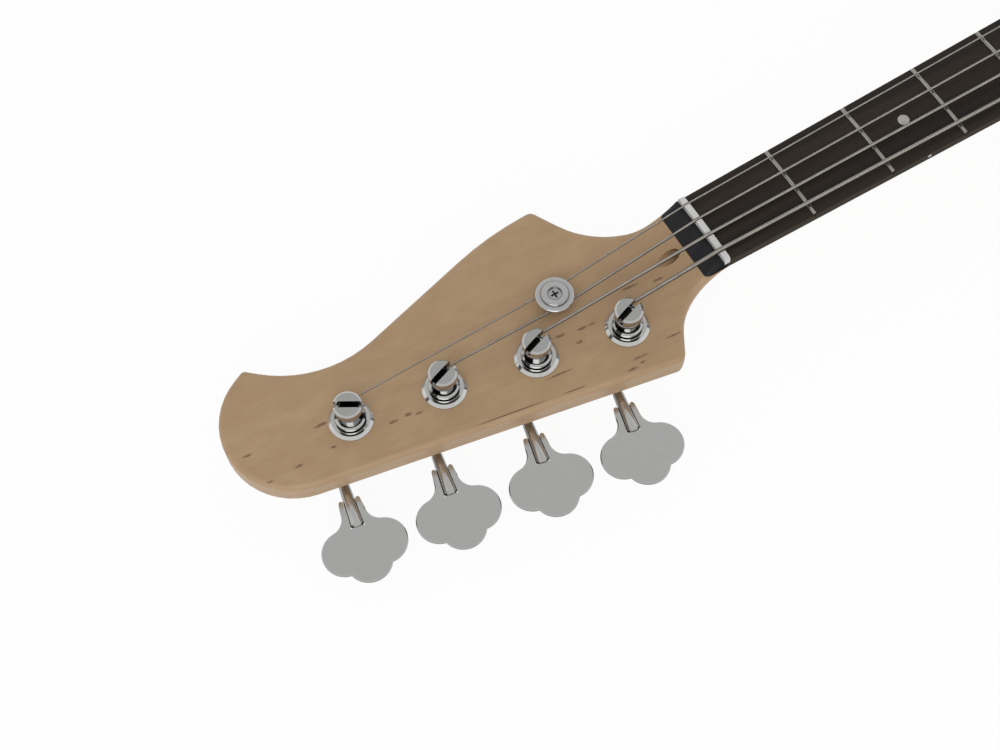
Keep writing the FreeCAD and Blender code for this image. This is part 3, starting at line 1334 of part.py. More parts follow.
covers = [cover.cut(Part.makeCompound(pickup_holes)) for cover in covers]
body_cuts = body_cuts + pickup_holes
save("pickup_covers", covers)
save("pickup_coils", coils)
save("pickup_magnets", magnets)
save("pickup_foam", foams)
save("pickup_screws", pickup_screws)

# Bridge
bridge_floor = BODY_THICKNESS + SEAT_GAP
bridge_half = BRIDGE_WIDTH / 2
plate = rounded_box(-BRIDGE_BACK, BRIDGE_FRONT, -bridge_half, bridge_half, BRIDGE_CORNER)
plate = slab(plate, bridge_floor, BRIDGE_TOP_Z)
wall = block(-BRIDGE_BACK, -BRIDGE_BACK + BRIDGE_WALL,
             -bridge_half + BRIDGE_CORNER, bridge_half - BRIDGE_CORNER,
             bridge_floor, BODY_THICKNESS + BRIDGE_WALL_HEIGHT)
plate = plate.fuse(wall)
bridge_places = [Vector(BRIDGE_FRONT - BRIDGE_SCREW_INSET, share * BRIDGE_WIDTH, BRIDGE_TOP_Z)
                 for share in BRIDGE_SCREW_PLACES_share]
bridge_screws, bridge_holes = screw_set(
    bridge_places, UP, BRIDGE_SCREW_HEAD, BRIDGE_SCREW_RIM, BRIDGE_SCREW_SHANK, BRIDGE_SCREW_LENGTH)
body_cuts = body_cuts + bridge_holes
for hole in bridge_holes:
    plate = plate.cut(hole)
wall_front = -BRIDGE_BACK + BRIDGE_WALL
springs = []
for index, name in enumerate(STRING_NAMES):
    crest = saddle_point(index)
    radius = STRING_RADII[index]
    top = crest.z - radius + SADDLE_GROOVE
    half = (SADDLE_SPACING - SLIDE_GAP) / 2
    back_x = crest.x - SADDLE_BACK
    front_x = crest.x + SADDLE_FRONT
    saddle = block(back_x, front_x, crest.y - half, crest.y + half, top - SADDLE_HEIGHT, top)
    shoulders = []
    for edge in saddle.Edges:
        if edge.BoundBox.ZMin > top - SEAT_GAP:
            shoulders.append(edge)
    saddle = saddle.makeFillet(SADDLE_CORNER, shoulders)
    size = radius + STRING_SEAT_GAP
    ball = Vector(-BRIDGE_BACK, crest.y, STRING_HOLE_Z)
    for aim in (ball, nut_point(index)):
        saddle = saddle.cut(rod(size, crest, crest + (aim - crest).normalize() * (SADDLE_BACK + OVERCUT)))
    saddle = saddle.cut(Part.makeSphere(size, crest))
    saddle = saddle.cut(block(back_x - OVERCUT, front_x + OVERCUT, crest.y - size, crest.y + size,
                              crest.z, top + OVERCUT))
    axis = Vector(0, crest.y, INTONATION_Z)
    run_start = axis - ALONG * (BRIDGE_BACK + OVERCUT)
    run_end = axis + ALONG * (front_x + OVERCUT)
    saddle = saddle.cut(rod(INTONATION_RADIUS + RUN_GAP, run_start, run_end))
    pieces = []
    for side in (-1, 1):
        foot = Vector(crest.x, crest.y + side * HEIGHT_SCREW_OFFSET, BRIDGE_TOP_Z + SEAT_GAP)
        head = Vector(foot.x, foot.y, top - SADDLE_CORNER)
        saddle = saddle.cut(rod(HEIGHT_SCREW_RADIUS + SEAT_GAP, foot, head + UP * OVERCUT))
        grub = rod(HEIGHT_SCREW_RADIUS, foot, head)
        depth = HEIGHT_SCREW_SOCKET_DEPTH
        drive = slab(regular_loop(HEIGHT_SCREW_SOCKET, TRUSS_SOCKET_SIDES), -depth, depth)
        drive.translate(head)
        pieces.append(grub.cut(drive))
    save("saddle_" + name, [saddle] + pieces)
    screw_back = -BRIDGE_BACK - SEAT_GAP
    screw_end = front_x + INTONATION_FRONT
    screw = rod(INTONATION_RADIUS, axis + ALONG * screw_back, axis + ALONG * screw_end)
    cap_back = screw_back - INTONATION_HEAD_LENGTH
    cap = rod(INTONATION_HEAD_RADIUS, axis + ALONG * cap_back, axis + ALONG * screw_back)
    screw = screw.fuse(cap)
    slot_half = INTONATION_SLOT / 2
    screw = screw.cut(block(cap_back - OVERCUT, cap_back + INTONATION_HEAD_LENGTH / 2,
                            crest.y - INTONATION_HEAD_RADIUS, crest.y + INTONATION_HEAD_RADIUS,
                            INTONATION_Z - slot_half, INTONATION_Z + slot_half))
    save("intonation_screw_" + name, [screw])
    plate = plate.cut(rod(INTONATION_RADIUS + RUN_GAP, run_start, axis + ALONG * (wall_front + SLIDE_GAP)))
    hole_start = Vector(-BRIDGE_BACK - OVERCUT, crest.y, STRING_HOLE_Z)
    hole_end = ball + (crest - ball).normalize() * (2 * BRIDGE_WALL)
    plate = plate.cut(rod(radius + STRING_HOLE_GAP, hole_start, hole_end))
    spring_start = wall_front + SPRING_WIRE_RADIUS + SEAT_GAP
    spring_length = back_x - SPRING_WIRE_RADIUS - SEAT_GAP - spring_start
    steps = 4 * SPRING_TURNS
    pitch = spring_length / SPRING_TURNS
    coil = []
    for step in range(steps):
        ends = []
        for quarter in (step, step + 1):
            angle = math.pi / 2 * quarter
            spot = axis + Vector(spring_start + pitch * quarter / 4,
                                 SPRING_RADIUS * math.cos(angle), SPRING_RADIUS * math.sin(angle))
            flat = quarter == 0 or quarter == steps
            climb = 0 if flat else pitch / (2 * math.pi)
            way = Vector(climb, -SPRING_RADIUS * math.sin(angle), SPRING_RADIUS * math.cos(angle))
            ends.append((spot, way.normalize()))
        coil = coil + turn_arcs(ends[0][0], ends[0][1], ends[1][0], ends[1][1])
    for place, side in ((0, -1), (-1, 1)):
        edge = coil[place]
        spot = edge.valueAt(edge.FirstParameter if side < 0 else edge.LastParameter)
        way = edge.tangentAt(edge.FirstParameter if side < 0 else edge.LastParameter)
        far = spot + way * (side * 2 * SPRING_WIRE_RADIUS)
        run = Part.LineSegment(far, spot) if side < 0 else Part.LineSegment(spot, far)
        coil = [run.toShape()] + coil if side < 0 else coil + [run.toShape()]
    springs.append(tube(coil, SPRING_WIRE_RADIUS))
    free = least_gap(coil, SPRING_WIRE_RADIUS, math.pi * SPRING_RADIUS)
    print("saddle spring", name, "least gap of its turns", round(free, 3))
save("bridge_plate", [plate])
save("bridge_screws", bridge_screws)
save("saddle_springs", springs)

# Controls
control = Vector(CONTROL_X_share * BODY_LENGTH - BODY_TAIL, CONTROL_Y_share * BODY_WIDTH, 0)
control_way = Vector(math.cos(math.radians(CONTROL_ANGLE)), math.sin(math.radians(CONTROL_ANGLE)), 0)
control_frame = Placement(control, Rotation(UP, CONTROL_ANGLE))


def control_slab(grow, bottom, top):
    half_x = CAVITY_LENGTH / 2 + grow
    half_y = CAVITY_WIDTH / 2 + grow
    shape = slab(rounded_box(-half_x, half_x, -half_y, half_y, CAVITY_CORNER + grow), bottom, top)
    shape.Placement = control_frame
    return shape


recess_z = FLUSH_INSET + COVER_THICKNESS
body_cuts.append(control_slab(0, -OVERCUT, CAVITY_ROOF_Z))
body_cuts.append(control_slab(COVER_LIP, -OVERCUT, recess_z + SEAT_GAP))
cover = control_slab(COVER_LIP - SLIDE_GAP, FLUSH_INSET, recess_z)
cover_x = CAVITY_LENGTH / 2 + COVER_LIP - COVER_SCREW_INSET
cover_places = []
for side in (-1, 1):
    cover_places.append(control_frame.multVec(Vector(side * cover_x, 0, FLUSH_INSET)))
    cover_places.append(control_frame.multVec(
        Vector(0, side * (CAVITY_WIDTH / 2 + COVER_LIP - COVER_SCREW_INSET), FLUSH_INSET)))
cover_screws, cover_holes = screw_set(
    cover_places, DOWN, COVER_SCREW_HEAD, COVER_SCREW_RIM, COVER_SCREW_SHANK, COVER_SCREW_LENGTH)
body_cuts = body_cuts + cover_holes
for hole in cover_holes:
    cover = cover.cut(hole)
save("control_cover", [cover])
save("cover_screws", cover_screws)
pot_places = [control + control_way * (CONTROL_SPACING / 2), control - control_way * (CONTROL_SPACING / 2)]
pots = []
pot_nuts = []
nut_bottom = BODY_THICKNESS + SEAT_GAP
for name, place in zip(CONTROL_NAMES, pot_places):
    shaft_bottom = POT_TOP_Z - POT_HEIGHT / 2
    shaft_top = BODY_THICKNESS + POT_SHAFT_RISE
    bush_top = BODY_THICKNESS + POT_BUSH_RISE
    case = turned([
        (0, POT_BOTTOM_Z),
        (POT_RADIUS, POT_BOTTOM_Z),
        (POT_RADIUS, POT_TOP_Z),
        (POT_BUSH_RADIUS, POT_TOP_Z),
        (POT_BUSH_RADIUS, bush_top),
        (POT_SHAFT_RADIUS + RUN_GAP, bush_top),
        (POT_SHAFT_RADIUS + RUN_GAP, shaft_bottom - SEAT_GAP),
        (0, shaft_bottom - SEAT_GAP),
    ], place)
    pots.append(case)
    body_cuts.append(rod(POT_BUSH_RADIUS + SEAT_GAP, place, place + UP * (BODY_THICKNESS + OVERCUT)))
    nut_loop = Part.Face(regular_loop(POT_NUT_RADIUS, POT_NUT_SIDES)).extrude(UP * POT_NUT_HEIGHT)
    nut_loop.translate(place + UP * nut_bottom)
    pot_nuts.append(nut_loop.cut(rod(POT_BUSH_RADIUS + SEAT_GAP, place, place + UP * shaft_top)))
    spindle = rod(POT_SHAFT_RADIUS, place + UP * shaft_bottom, place + UP * shaft_top)
    save("pot_shaft_" + name, [spindle])
    low = BODY_THICKNESS + KNOB_LIFT
    high = low + KNOB_HEIGHT
    ceiling = low + KNOB_RECESS_DEPTH
    bore = POT_SHAFT_RADIUS + SEAT_GAP
    knob = turned([
        (KNOB_RECESS_RADIUS, low),
        (KNOB_RADIUS, low),
        (KNOB_TOP_RADIUS, high - KNOB_EDGE),
        (KNOB_TOP_RADIUS - KNOB_EDGE, high),
        (0, high),
        (0, shaft_top + SEAT_GAP),
        (bore, shaft_top + SEAT_GAP),
        (bore, ceiling),
        (KNOB_RECESS_RADIUS, ceiling),
    ], place)
    mark = block(0, KNOB_RADIUS + OVERCUT, -KNOB_MARK_WIDTH / 2, KNOB_MARK_WIDTH / 2,
                 high - KNOB_MARK_DEPTH, high + OVERCUT)
    mark.translate(place)
    save("knob_" + name, [knob.cut(mark)])
save("pot_cases", pots)
save("pot_nuts", pot_nuts)
volume, tone = pot_places
capacitor_base = tone + control_way * CAPACITOR_OFFSET + UP * (POT_BOTTOM_Z - SEAT_GAP)
save("tone_capacitor", [rod(CAPACITOR_RADIUS, capacitor_base, capacitor_base - UP * CAPACITOR_THICKNESS)])

# Output jack in the treble rim, where the outline runs level
lowest = min(outline.discretize(int(BODY_LENGTH)), key=lambda point: point.y)
rim_y = outline.BoundBox.YMin
jack_seat = Vector(lowest.x, rim_y + JACK_SEAT_DEPTH, JACK_HEIGHT)
outward = ACROSS * -1
barrel = turned([
    (JACK_BORE_RADIUS, JACK_FLANGE_THICKNESS),
    (JACK_FLANGE_RADIUS - JACK_FLANGE_EDGE, JACK_FLANGE_THICKNESS),
    (JACK_FLANGE_RADIUS, JACK_FLANGE_THICKNESS - JACK_FLANGE_EDGE),
    (JACK_FLANGE_RADIUS, SEAT_GAP),
    (JACK_BARREL_RADIUS, SEAT_GAP),
    (JACK_BARREL_RADIUS, -JACK_BARREL_LENGTH),
    (0, -JACK_BARREL_LENGTH),
    (0, JACK_FLANGE_THICKNESS - JACK_BORE_DEPTH),
    (JACK_BORE_RADIUS, JACK_FLANGE_THICKNESS - JACK_BORE_DEPTH),
], jack_seat, outward)
body_cuts.append(rod(JACK_SEAT_RADIUS, jack_seat, jack_seat + outward * OVERCUT))
body_cuts.append(rod(JACK_BARREL_RADIUS + SEAT_GAP, jack_seat + outward * OVERCUT,
                     jack_seat - outward * (JACK_BARREL_LENGTH + JACK_END_ROOM)))
save("output_jack", [barrel])
jack_end = jack_seat - outward * JACK_BARREL_LENGTH

# Strap buttons at the tail and on the bass horn
strap_places = [
    (Vector(-BODY_TAIL, 0, BODY_THICKNESS / 2), ALONG * -1),
    (Vector(BODY_LENGTH - BODY_TAIL, STRAP_HORN_share * BODY_WIDTH, BODY_THICKNESS / 2), ALONG),
]
buttons = []
strap_screws = []
for place, axis in strap_places:
    button = turned([
        (0, SEAT_GAP),
        (STRAP_BASE_RADIUS, SEAT_GAP),
        (STRAP_BASE_RADIUS, STRAP_BASE_THICKNESS),
        (STRAP_NECK_RADIUS, STRAP_BASE_THICKNESS + STRAP_BASE_RADIUS - STRAP_NECK_RADIUS),
        (STRAP_NECK_RADIUS, STRAP_LENGTH - 2 * STRAP_HEAD_THICKNESS),
        (STRAP_HEAD_RADIUS, STRAP_LENGTH - STRAP_HEAD_THICKNESS),
        (STRAP_HEAD_RADIUS, STRAP_LENGTH - STRAP_HEAD_THICKNESS / 2),
        (STRAP_HEAD_RADIUS - STRAP_HEAD_THICKNESS / 2, STRAP_LENGTH),
        (0, STRAP_LENGTH),
    ], place, axis)
    screws, holes = screw_set([place + axis * STRAP_LENGTH], axis,
                              STRAP_SCREW_HEAD, STRAP_SCREW_RIM, STRAP_SCREW_SHANK, STRAP_SCREW_LENGTH)
    buttons.append(button.cut(holes[0]))
    strap_screws = strap_screws + screws
    body_cuts = body_cuts + holes
save("strap_buttons", buttons)
save("strap_screws", strap_screws)

# Wiring in its drilled ways: two pickup leads, the link between the controls, the jack lead
# and the bridge ground
bridge_pickup, neck_pickup = PICKUP_PLACES
lead_y = -LEAD_PLACE
pot_floor = POT_BOTTOM_Z - SEAT_GAP
coil_floor = PICKUP_BOTTOM_Z - SEAT_GAP
wires = []
for x, turn_x in ((neck_pickup, bridge_pickup + WIRE_PITCH / 2), (bridge_pickup - WIRE_PITCH / 2, None)):
    points = [Vector(x, lead_y, coil_floor), Vector(x, lead_y, CHANNEL_Z)]
    if turn_x is not None:
        points.append(Vector(turn_x, lead_y, CHANNEL_Z))
    points.append(Vector(points[-1].x, volume.y, CHANNEL_Z))
    points.append(Vector(points[-1].x, volume.y, pot_floor))
    wires.append(tube(bent_path(points, WIRE_BEND), WIRE_RADIUS))
link_z = POT_BOTTOM_Z - WIRE_DROP - 2 * WIRE_BEND
link_start = volume - control_way * (POT_RADIUS / 2)
square = Vector(-control_way.y, control_way.x, 0)
link_side = square * (POT_RADIUS / 2)
wires.append(tube(bent_path([
    link_start + UP * pot_floor,
    link_start + UP * link_z,
    tone + link_side + UP * link_z,
    tone + link_side + UP * pot_floor,
], WIRE_BEND), WIRE_RADIUS))
jack_start = tone - square * (POT_RADIUS / 2)
wires.append(tube(bent_path([
    jack_start + UP * pot_floor,
    jack_start + UP * JACK_HEIGHT,
    Vector(jack_end.x, jack_start.y, JACK_HEIGHT),
    jack_end + ACROSS * SEAT_GAP,
], WIRE_BEND), WIRE_RADIUS))
ground_top = Vector(0, -GROUND_PLACE_share * BRIDGE_WIDTH, BODY_THICKNESS - WIRE_RADIUS)
ground_start = tone - control_way * (POT_RADIUS / 2)
ground_low = ground_start + UP * link_z
ground = bent_path([ground_start + UP * pot_floor, ground_low, ground_top], WIRE_BEND)
wires.append(tube(ground, WIRE_RADIUS))
save("wiring", wires)
channel_turn = Vector(bridge_pickup, lead_y, CHANNEL_Z)
for end in (Vector(neck_pickup, lead_y, CHANNEL_Z), Vector(bridge_pickup, volume.y, CHANNEL_Z)):
    body_cuts.append(rod(CHANNEL_RADIUS, channel_turn, end))
ground_mouth = ground_top + (ground_top - ground_low).normalize() * OVERCUT
body_cuts.append(rod(GROUND_CHANNEL_RADIUS, ground_low, ground_mouth))

for tool in body_cuts:
    body = body.cut(tool)
save("body", [body])
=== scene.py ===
import math

import bpy
from mathutils import Matrix, Vector


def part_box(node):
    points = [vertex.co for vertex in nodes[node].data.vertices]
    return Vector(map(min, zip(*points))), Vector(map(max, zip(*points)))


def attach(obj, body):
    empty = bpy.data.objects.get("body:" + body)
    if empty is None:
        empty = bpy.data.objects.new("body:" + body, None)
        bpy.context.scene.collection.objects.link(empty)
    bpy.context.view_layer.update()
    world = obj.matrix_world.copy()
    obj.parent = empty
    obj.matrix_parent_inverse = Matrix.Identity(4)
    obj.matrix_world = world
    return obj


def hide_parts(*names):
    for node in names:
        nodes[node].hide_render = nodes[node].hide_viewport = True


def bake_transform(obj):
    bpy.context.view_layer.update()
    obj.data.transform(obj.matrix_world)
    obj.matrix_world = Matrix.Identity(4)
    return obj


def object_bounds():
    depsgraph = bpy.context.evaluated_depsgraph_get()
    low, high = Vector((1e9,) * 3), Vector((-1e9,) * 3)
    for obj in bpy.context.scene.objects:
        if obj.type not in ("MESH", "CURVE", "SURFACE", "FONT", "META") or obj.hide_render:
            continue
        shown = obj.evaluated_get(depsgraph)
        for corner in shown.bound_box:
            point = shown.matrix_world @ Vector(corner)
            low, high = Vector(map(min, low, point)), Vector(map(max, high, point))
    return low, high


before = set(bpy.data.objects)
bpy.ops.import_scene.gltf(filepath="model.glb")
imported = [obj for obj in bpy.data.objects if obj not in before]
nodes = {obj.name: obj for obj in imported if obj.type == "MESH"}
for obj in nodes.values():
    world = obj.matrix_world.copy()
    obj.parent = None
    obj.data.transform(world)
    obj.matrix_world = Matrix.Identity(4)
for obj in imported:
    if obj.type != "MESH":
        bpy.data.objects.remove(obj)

# A four-string electric bass on its back, seen from above its head. Sizes in metres.
# +X runs along the strings to the head, +Y to the bass side, +Z out of the front.

cad_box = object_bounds()
STRING_NAMES = ["e", "a", "d", "g"]

# Camera
CAMERA_PLACE = Vector((1.14183, 0.29514, 0.74929))
CAMERA_FORWARD = Vector((-0.20266, -0.36762, -0.90739))
CAMERA_UP = Vector((-0.47565, -0.77350, 0.41962))
CAMERA_LENS_MM = 60.27
CAMERA_SENSOR_MM = 36.0

# Studio
FLOOR_HALF_WIDTH = 9.0
FLOOR_DROP = 0.0003
FLOOR_COLOUR = (0.98, 0.98, 0.98, 1)
FLOOR_ROUGHNESS = 0.9
FLOOR_SHADOW_SHARE = 0.08
SKY_TOP = (0.60, 0.60, 0.60, 1)
SKY_LOW = (1.0, 1.0, 1.0, 1)
LAMP_PLACE = Vector((1.75, 0.95, 1.55))
LAMP_AIM = Vector((0.95, 0.0, 0.04))
LAMP_SIZE = 1.3
LAMP_POWER = 11.0

# Strings: the same route as their solids
STRING_RADII = [0.00115, 0.00092, 0.0007, 0.00048]
STRING_TAPER_SHARE = 0.68
STRING_TURNS = [1, 1, 2, 2]
HELD_DOWN = [False, False, True, True]
SLOT_ANGLES = [18.6, 18.6, 18.6, 149.0]
WRAP_PITCHES = [0.00052, 0.00045, 0.00036, 0.00030]
NUT_SPACING = 0.0097
NUT_SHIFT = -0.0006
NUT_STRING_RISE = 0.0016
SADDLE_STRING_RISE = 0.0057
SADDLE_FRONT = 0.0045
BOARD_RADIUS = 0.305
BALL_RADIUS = 0.0028
BALL_LENGTH = 0.0055
BALL_WAIST = 0.0004
BALL_GROOVE_SHARE = 0.5
STRING_HOLE_HEIGHT = 0.05725
RETAINER_LIFT = 0.0054
CAP_HEIGHT = 0.0048
SLOT_WIDTH = 0.003
SLOT_SHADE_DEPTH = 0.0016
WAIST_RADIUS = 0.0046
WRAP_GAP = 0.00015
WRAP_SPACE = 0.0008
SEAT_GAP = 0.0001
STRING_BEND = 0.010
TAIL_BEND_SHARE = 0.49
STRING_SIDES = 14
TURN_STEPS = 28
BEND_STEPS = 6
TUBE_MAP = "length_and_turn"
SHARP_DEGREES = 40

# Rings of painted shade on the string retainer, in its groove and round its screw recess: radius, half width
# and strength
RETAINER_SHADE_RINGS = [
    (0.0067, 0.0008, 0.55),
    (0.0033, 0.0005, 0.80),
]
# Depth over which painted shade darkens the retainer screw's recess
RECESS_SHADE_DEPTH = 0.0005

# Saddle springs
SPRING_RADIUS = 0.00235
SPRING_WIRE_RADIUS = 0.0003
SPRING_TURNS = 9
SPRING_SIDES = 8

# Wood marks on the head: place, half length and half width, tilted with the grain or with the bass edge
GRAIN_TILT = -6.0
EDGE_TILT = -9.8
HEAD_FLECKS = [
    (1.0674, -0.0116, 0.0042, 0.0011),
    (1.0680, 0.0009, 0.0022, 0.0008),
    (1.1035, -0.0157, 0.0030, 0.0008),
    (1.0856, 0.0010, 0.0030, 0.0009),
    (1.1004, 0.0010, 0.0026, 0.0007),
    (1.0385, 0.0044, 0.0028, 0.0009),
    (1.0308, 0.0048, 0.0027, 0.0010),
    (1.0261, 0.0068, 0.0022, 0.0007),
    (0.9502, 0.0073, 0.0036, 0.0009),
    (0.9396, 0.0093, 0.0028, 0.0010),
    (0.9341, 0.0098, 0.0026, 0.0007),
    (0.9439, 0.0148, 0.0028, 0.0009),
    (0.9246, 0.0389, 0.0018, 0.0007),
    (0.9243, 0.0360, 0.0052, 0.0007),
    (0.9305, 0.0395, 0.0034, 0.0010),
    (0.9046, 0.0348, 0.0058, 0.0006),
    (0.9083, 0.0027, 0.0055, 0.0008),
    (0.8948, 0.0063, 0.0040, 0.0008),
    (0.9606, 0.0239, 0.0085, 0.0006),
]
EDGE_MARKS = [
    (0.9905, 0.0289, 0.0225, 0.00042),
    (0.9590, 0.0343, 0.0075, 0.00042),
]


# Meshes


def add_piece(name, shell, material, replaced):
    """Put a mesh in the scene as a piece that stands for a CAD node or for a part of it."""
    mesh = shell.mesh(name)
    mesh.materials.append(material)
    piece = bpy.data.objects.new(name, mesh)
    bpy.context.scene.collection.objects.link(piece)
    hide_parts(replaced)
    return piece


def headings(path):
    """The way along a path at each of its points."""
    return [(after - before).normalized() for before, after in zip(path[:1] + path, path[1:] + path[-1:])]


class Shell:
    """Vertices, faces and a length-and-turn map of a mesh in the making."""

    def __init__(self):
        self.points = []
        self.faces = []
        self.maps = []

    def add_tube(self, path, ways, radii, sides):
        """A closed tube along a path, mapped by the metres along it and the share of a turn around it."""
        first = len(self.points)
        along = 0.0
        lengths = []
        normal = ways[0].orthogonal()
        for before, point, way, radius in zip(path[:1] + path, path, ways, radii):
            normal = (normal - way * normal.dot(way)).normalized()
            across = way.cross(normal)
            along = along + (point - before).length
            lengths.append(along)
            for side in range(sides):
                angle = 2 * math.pi * side / sides
                self.points.append(point + (normal * math.cos(angle) + across * math.sin(angle)) * radius)
        for ring in range(len(path) - 1):
            for side in range(sides):
                other = (side + 1) % sides
                here = first + ring * sides
                self.faces.append((here + side, here + other, here + sides + other, here + sides + side))
                low, high = side / sides, (side + 1) / sides
                start, end = lengths[ring], lengths[ring + 1]
                self.maps.append([(start, low), (start, high), (end, high), (end, low)])
        last = first + (len(path) - 1) * sides
        self.faces.append(tuple(first + side for side in reversed(range(sides))))
        self.maps.append([(0.0, side / sides) for side in reversed(range(sides))])
        self.faces.append(tuple(last + side for side in range(sides)))
        self.maps.append([(along, side / sides) for side in range(sides)])

    def add_turned(self, outline, base, axis, sides):
        """A closed outline of (radius, height) points turned about an axis."""
        first = len(self.points)
        rise = Vector(axis).normalized()
        across = rise.orthogonal().normalized()
        beyond = rise.cross(across)
        for side in range(sides):
            angle = 2 * math.pi * side / sides
            spoke = across * math.cos(angle) + beyond * math.sin(angle)
            for radius, height in outline:
                self.points.append(base + spoke * radius + rise * height)
        count = len(outline)
        for side in range(sides):
            here = first + side * count
            there = first + (side + 1) % sides * count
            for index in range(count):
                after = (index + 1) % count
                self.faces.append((here + index, there + index, there + after, here + after))
                self.maps.append([(0.0, 0.0)] * 4)

    def mesh(self, name):
        mesh = bpy.data.meshes.new(name)
        mesh.from_pydata(self.points, [], self.faces)
        layer = mesh.uv_layers.new(name=TUBE_MAP)
        spots = [spot for face in self.maps for spot in face]
        for loop, spot in zip(layer.data, spots):
            loop.uv = spot
        mesh.validate()
        mesh.shade_smooth()
        mesh.set_sharp_from_angle(angle=math.radians(SHARP_DEGREES))
        return mesh


def arc_points(first, knee, last):
    """Points of the arc from first to last whose end tangents meet at knee, without its first point."""
    weight = math.sin((first - knee).angle(last - knee) / 2)
    points = []
    for step in range(1, BEND_STEPS + 1):
        share = step / BEND_STEPS
        parts = ((1 - share) ** 2, 2 * weight * share * (1 - share), share ** 2)
        points.append((first * parts[0] + knee * parts[1] + last * parts[2]) / sum(parts))
    return points


def softened(corners, bend):
    """Straight runs between corners, with each corner rounded to the bend radius."""
    path = [corners[0]]
    for before, here, after in zip(corners, corners[1:], corners[2:]):
        back = (before - here).normalized()
        ahead = (after - here).normalized()
        reach = bend / math.tan(back.angle(ahead) / 2)
        path.append(here + back * reach)
        path.extend(arc_points(path[-1], here, here + ahead * reach))
    path.append(corners[-1])
    return path


# Places read from the frame


def middle_of(node):
    low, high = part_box(node)
    return (Vector(low) + Vector(high)) / 2


board_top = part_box("fretboard")[1][2]
nut_x = middle_of("nut").x
retainer_low, retainer_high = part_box("string_retainer")
head_face = retainer_low[2] - SEAT_GAP / 2


def crown_drop(y):
    return BOARD_RADIUS - math.sqrt(BOARD_RADIUS ** 2 - y ** 2)


def nut_point(index):
    y = NUT_SHIFT + NUT_SPACING * ((len(STRING_NAMES) - 1) / 2 - index)
    return Vector((nut_x, y, board_top - crown_drop(y) + NUT_STRING_RISE + STRING_RADII[index]))


def saddle_point(index):
    node = "saddle_" + STRING_NAMES[index]
    y = middle_of(node).y
    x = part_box(node)[1][0] - SADDLE_FRONT
    return Vector((x, y, board_top - crown_drop(y) + SADDLE_STRING_RISE + STRING_RADII[index]))


def ball_point(index):
    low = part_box("string_" + STRING_NAMES[index])[0]
    return Vector((low[0] + BALL_RADIUS, saddle_point(index).y, STRING_HOLE_HEIGHT))


# Strings


def string_radius(index, x):
    """Full up to the nut, then thinner towards the post."""
    post_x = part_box("tuner_post_" + STRING_NAMES[index])[0][0]
    share = min(max((x - nut_x) / (post_x - nut_x), 0.0), 1.0)
    return STRING_RADII[index] * (1 - share * (1 - STRING_TAPER_SHARE))


def string_path(index):
    """From the ball over the saddle and the nut to the turns on the post and into its slot."""
    node = "tuner_post_" + STRING_NAMES[index]
    radius = string_radius(index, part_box(node)[0][0])
    centre = middle_of(node)
    start = nut_point(index)
    wrap = WAIST_RADIUS + radius + WRAP_GAP
    offset = Vector((centre.x - start.x, centre.y - start.y))
    heading = math.atan2(offset.y, offset.x) - math.asin(wrap / offset.length)
    bend = min(2 * radius, wrap * TAIL_BEND_SHARE)
    lead_in = math.asin(bend / (wrap - bend))
    slot = math.radians(SLOT_ANGLES[index])
    first_angle = heading - math.pi / 2
    sweep = (slot - lead_in - first_angle) % (2 * math.pi) + 2 * math.pi * STRING_TURNS[index]
    pitch = 2 * radius + WRAP_SPACE
    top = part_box(node)[1][2] - CAP_HEIGHT - WRAP_GAP - radius

    def spot(turn):
        angle = first_angle + turn
        height = top - pitch * (sweep - turn) / (2 * math.pi)
        return Vector((centre.x + wrap * math.cos(angle), centre.y + wrap * math.sin(angle), height))

    contact = spot(0)
    corners = [ball_point(index), saddle_point(index), start]
    if HELD_DOWN[index]:
        for x in (retainer_low[0], retainer_high[0]):
            y = start.y + (contact.y - start.y) * (x - start.x) / (contact.x - start.x)
            corners.append(Vector((x, y, head_face + RETAINER_LIFT - string_radius(index, x) - SEAT_GAP)))
    path = softened(corners + [contact], STRING_BEND)
    steps = math.ceil(sweep / (2 * math.pi) * TURN_STEPS)
    path.extend(spot(sweep * step / steps) for step in range(1, steps + 1))
    along_slot = Vector((math.cos(slot), math.sin(slot), 0))
    inner = math.sqrt((wrap - bend) ** 2 - bend ** 2)
    mouth = Vector((centre.x, centre.y, top)) + along_slot * inner
    end_angle = first_angle + sweep
    end_way = Vector((-math.sin(end_angle), math.cos(end_angle), 0))
    knee = path[-1] + end_way * (bend * math.tan((math.pi / 2 + lead_in) / 2))
    path.extend(arc_points(path[-1], knee, mouth))
    path.append(mouth - along_slot * (2 * radius))
    return path


def ball_outline(index):
    """Half section of a ball end with a shallow groove round its middle."""
    half = BALL_LENGTH / 2
    groove = half * BALL_GROOVE_SHARE
    bore = STRING_RADII[index] + SEAT_GAP / 2
    return [
        (bore, -half),
        (BALL_RADIUS - BALL_WAIST, -half),
        (BALL_RADIUS, -half + BALL_WAIST),
        (BALL_RADIUS, -groove),
        (BALL_RADIUS - BALL_WAIST, 0),
        (BALL_RADIUS, groove),
        (BALL_RADIUS, half - BALL_WAIST),
        (BALL_RADIUS - BALL_WAIST, half),
        (bore, half),
    ]


